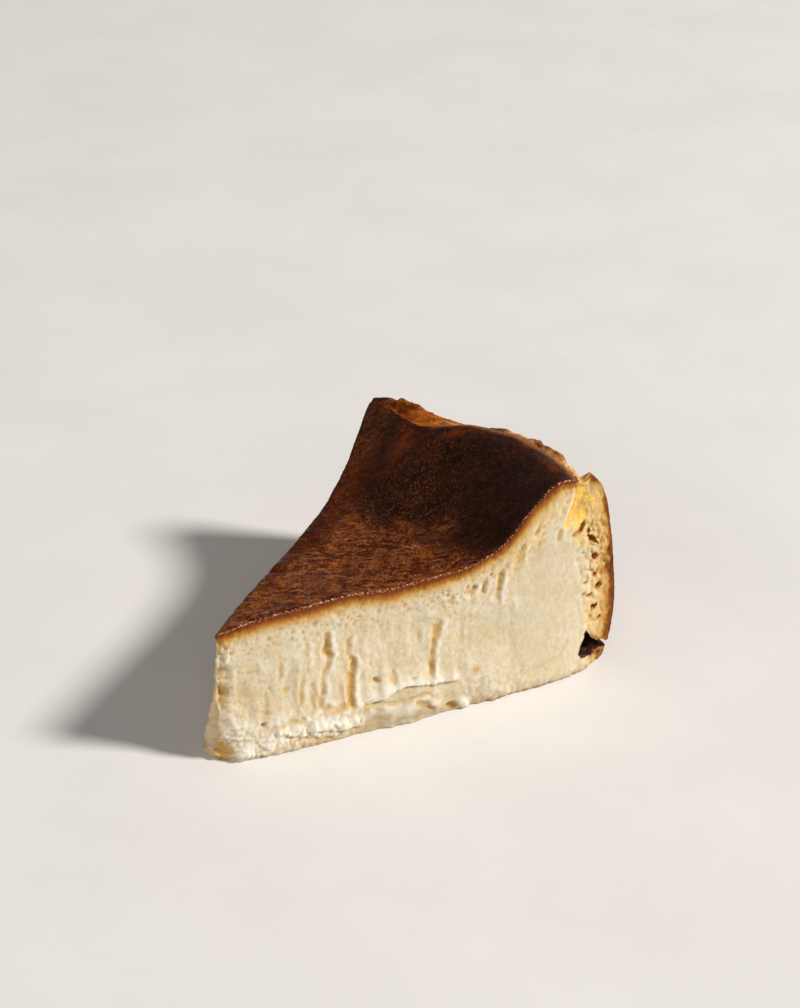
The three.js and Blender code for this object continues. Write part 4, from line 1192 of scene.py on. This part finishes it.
# Painted highlights: lighter where the relief stands proud, beside the crease and on the ridge to the right of
# each groove.
painted_highlight = np.clip((relief - 0.2 + 0.22 * curdled) / (0.9 - 0.35 * curdled), 0, 1) * 0.9 * ease(depth - 3, 2)
beside = near_tears(s - 1.5, z) * (1 - np.clip(grooved / 0.5, 0, 1)) * near_face
give("painted_highlight", np.clip(np.maximum(painted_highlight, lit) + 0.6 * np.clip(beside, 0, 1), 0, 0.95))
upper = ease(12 - depth, 5)
calm = ease(s - 84 + wandering(s, z, 71), 4) * ease(105 - s, 3) * ease(depth - 9, 4)
calm = np.where(far_face, 0.5, calm)
# Painted shade in the pores.
pores = np.where(near_face, pore_depths(s, z, NEAR_SEED), pore_depths(s, z, FAR_SEED)) * (near_face | far_face)
give("pored", (0.7 * upper + 0.2) * pores**0.6 * (1 - calm) * ease(depth - 2.5, 2))
give("grain", 0.55 + 0.25 * upper - 0.42 * calm)
in_rim = ease(s - 101.8 - 0.11 * np.clip(50 - z, 0, 50) + 1.6 * noise(s / 3, z / 3, 127), 3)
gold = in_rim * (0.3 + 0.7 * ease(z - 36, 16)) * (0.8 + 0.5 * noise(s / 2.6, z / 2.6, 124))
gold = np.maximum(gold * (1 - lit), bump(s - line_s - 1.0, 1.0) * by_crease)
upper_gold = 0.22 * ease(s - 78, 8) * ease(11 - depth, 6) * (1 + 0.8 * noise(s / 2.2, z / 2.2, 135))
gold = np.maximum(gold, upper_gold)
give("gold", np.clip(gold, 0, 1) * (0.94 - 0.3 * moved_off))
to_notch = distance_to_line(s, z, NOTCH_OUTLINE + NOTCH_OUTLINE[:1])
notch_edge = bump(to_notch, 0.9) * ease(s - 107, 3) * near_face
bottom = ease(0.9 - z + 0.5 * noise(s / 1.4, 0.5, 125), 0.8) * ease(s - 66, 12) * 0.75
flap = ease(s - 109.5 + 0.8 * noise(s, z, 126), 3) * ease(4.6 - z, 1.5) * near_face * 0.85
give("scorch", np.where(moved_off, 0, np.clip(notch_edge + bottom + flap, 0, 1)))
give("burnt", np.clip(ease(z - 38, 12) * 0.85 + 0.45 * ease(8 - z, 7), 0, 1))
climb = np.clip(z / 54, 0, 1)
crease = np.zeros(count)
for at, lean, strength in PLEATS:
    off = t - at - lean * climb
    folds = strength * bump(off, 0.012), 0.7 * strength * bump(off - 0.052, 0.008)
    crease = np.maximum(crease, np.maximum(*folds))
give("crease", crease)
give("inside", moved_off)

mesh.polygons.foreach_set("use_smooth", np.ones(len(mesh.polygons), bool))
mesh.set_sharp_from_angle(angle=SHARP)
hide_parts("cheesecake_slice")
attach(slice_piece, "root")

# ---- Floor, light and camera ----
FLOOR_REACH = 4.0  # metres from the middle to each side
corners = [(x * FLOOR_REACH, y * FLOOR_REACH, 0) for x, y in ((-1, -1), (1, -1), (1, 1), (-1, 1))]
floor_mesh = bpy.data.meshes.new("floor")
floor_mesh.from_pydata(corners, [], [(0, 1, 2, 3)])
floor = put("floor", floor_mesh)
stone = Graph("pale_floor", Specular_IOR_Level=0.2)
cloudy = stone.blend(stone.noise(60, 4, 0.6), 0.35, 0.65, (0.785, 0.755, 0.725), (0.815, 0.785, 0.755))
floor_mesh.materials.append(stone.finish(cloudy, 0.9))

CAMERA_AIM = (132.5, 56.6, 0.0)
CAMERA_AZIMUTH, CAMERA_ELEVATION, CAMERA_DISTANCE = -47.8, 28.9, 743.0
CAMERA_PIXELS = 2400.0  # focal length in pixels
LONG_SIDE, SENSOR = 1008, 36  # the picture's longer side: pixels, and millimetres of sensor
LIGHT_DISTANCE = 5.0


def direction(azimuth, elevation):
    """From the object towards a camera or light. Azimuth 0 stands on the -Y side."""
    a, e = math.radians(azimuth), math.radians(elevation)
    return Vector((math.sin(a) * math.cos(e), -math.cos(a) * math.cos(e), math.sin(e)))


def stand(obj, position, towards):
    """Set an object at a place, looking against a direction."""
    obj.location = position
    obj.rotation_mode = "QUATERNION"
    obj.rotation_quaternion = (-towards).to_track_quat("-Z", "Y")


back = direction(CAMERA_AZIMUTH, CAMERA_ELEVATION)
aim = Vector(np.array(CAMERA_AIM) + AXIS_SHIFT) * MM
camera_data = bpy.data.cameras.new("camera")
camera_data.sensor_width = SENSOR
camera_data.lens = CAMERA_PIXELS * SENSOR / LONG_SIDE
camera_data.clip_start, camera_data.clip_end = 0.01, 20
camera = put("camera", camera_data)
stand(camera, aim + back * CAMERA_DISTANCE * MM, back)
bpy.context.scene.camera = camera


def area_light(name, turn, elevation, size, power, colour):
    """A round light LIGHT_DISTANCE metres away, turned from the camera's azimuth."""
    data = bpy.data.lights.new(name, "AREA")
    data.shape = "DISK"
    data.size = size
    data.energy = power
    data.color = colour
    towards = direction(CAMERA_AZIMUTH + turn, elevation)
    stand(put(name, data), towards * LIGHT_DISTANCE, towards)


area_light("key", 80, 38, 1.0, 296, (1.0, 0.985, 0.965))
area_light("side_fill", -70, 22, 3.0, 30, (1.0, 0.93, 0.82))
area_light("front_fill", -8, 27, 4.2, 68, (1.0, 0.985, 0.97))
world = bpy.data.worlds.new("studio")
world.use_nodes = True
sky = world.node_tree.nodes["Background"]
sky.inputs["Color"].default_value = (1.0, 0.985, 0.97, 1)
sky.inputs["Strength"].default_value = 0.12
bpy.context.scene.world = world
bpy.context.scene.view_settings.view_transform = "Standard"
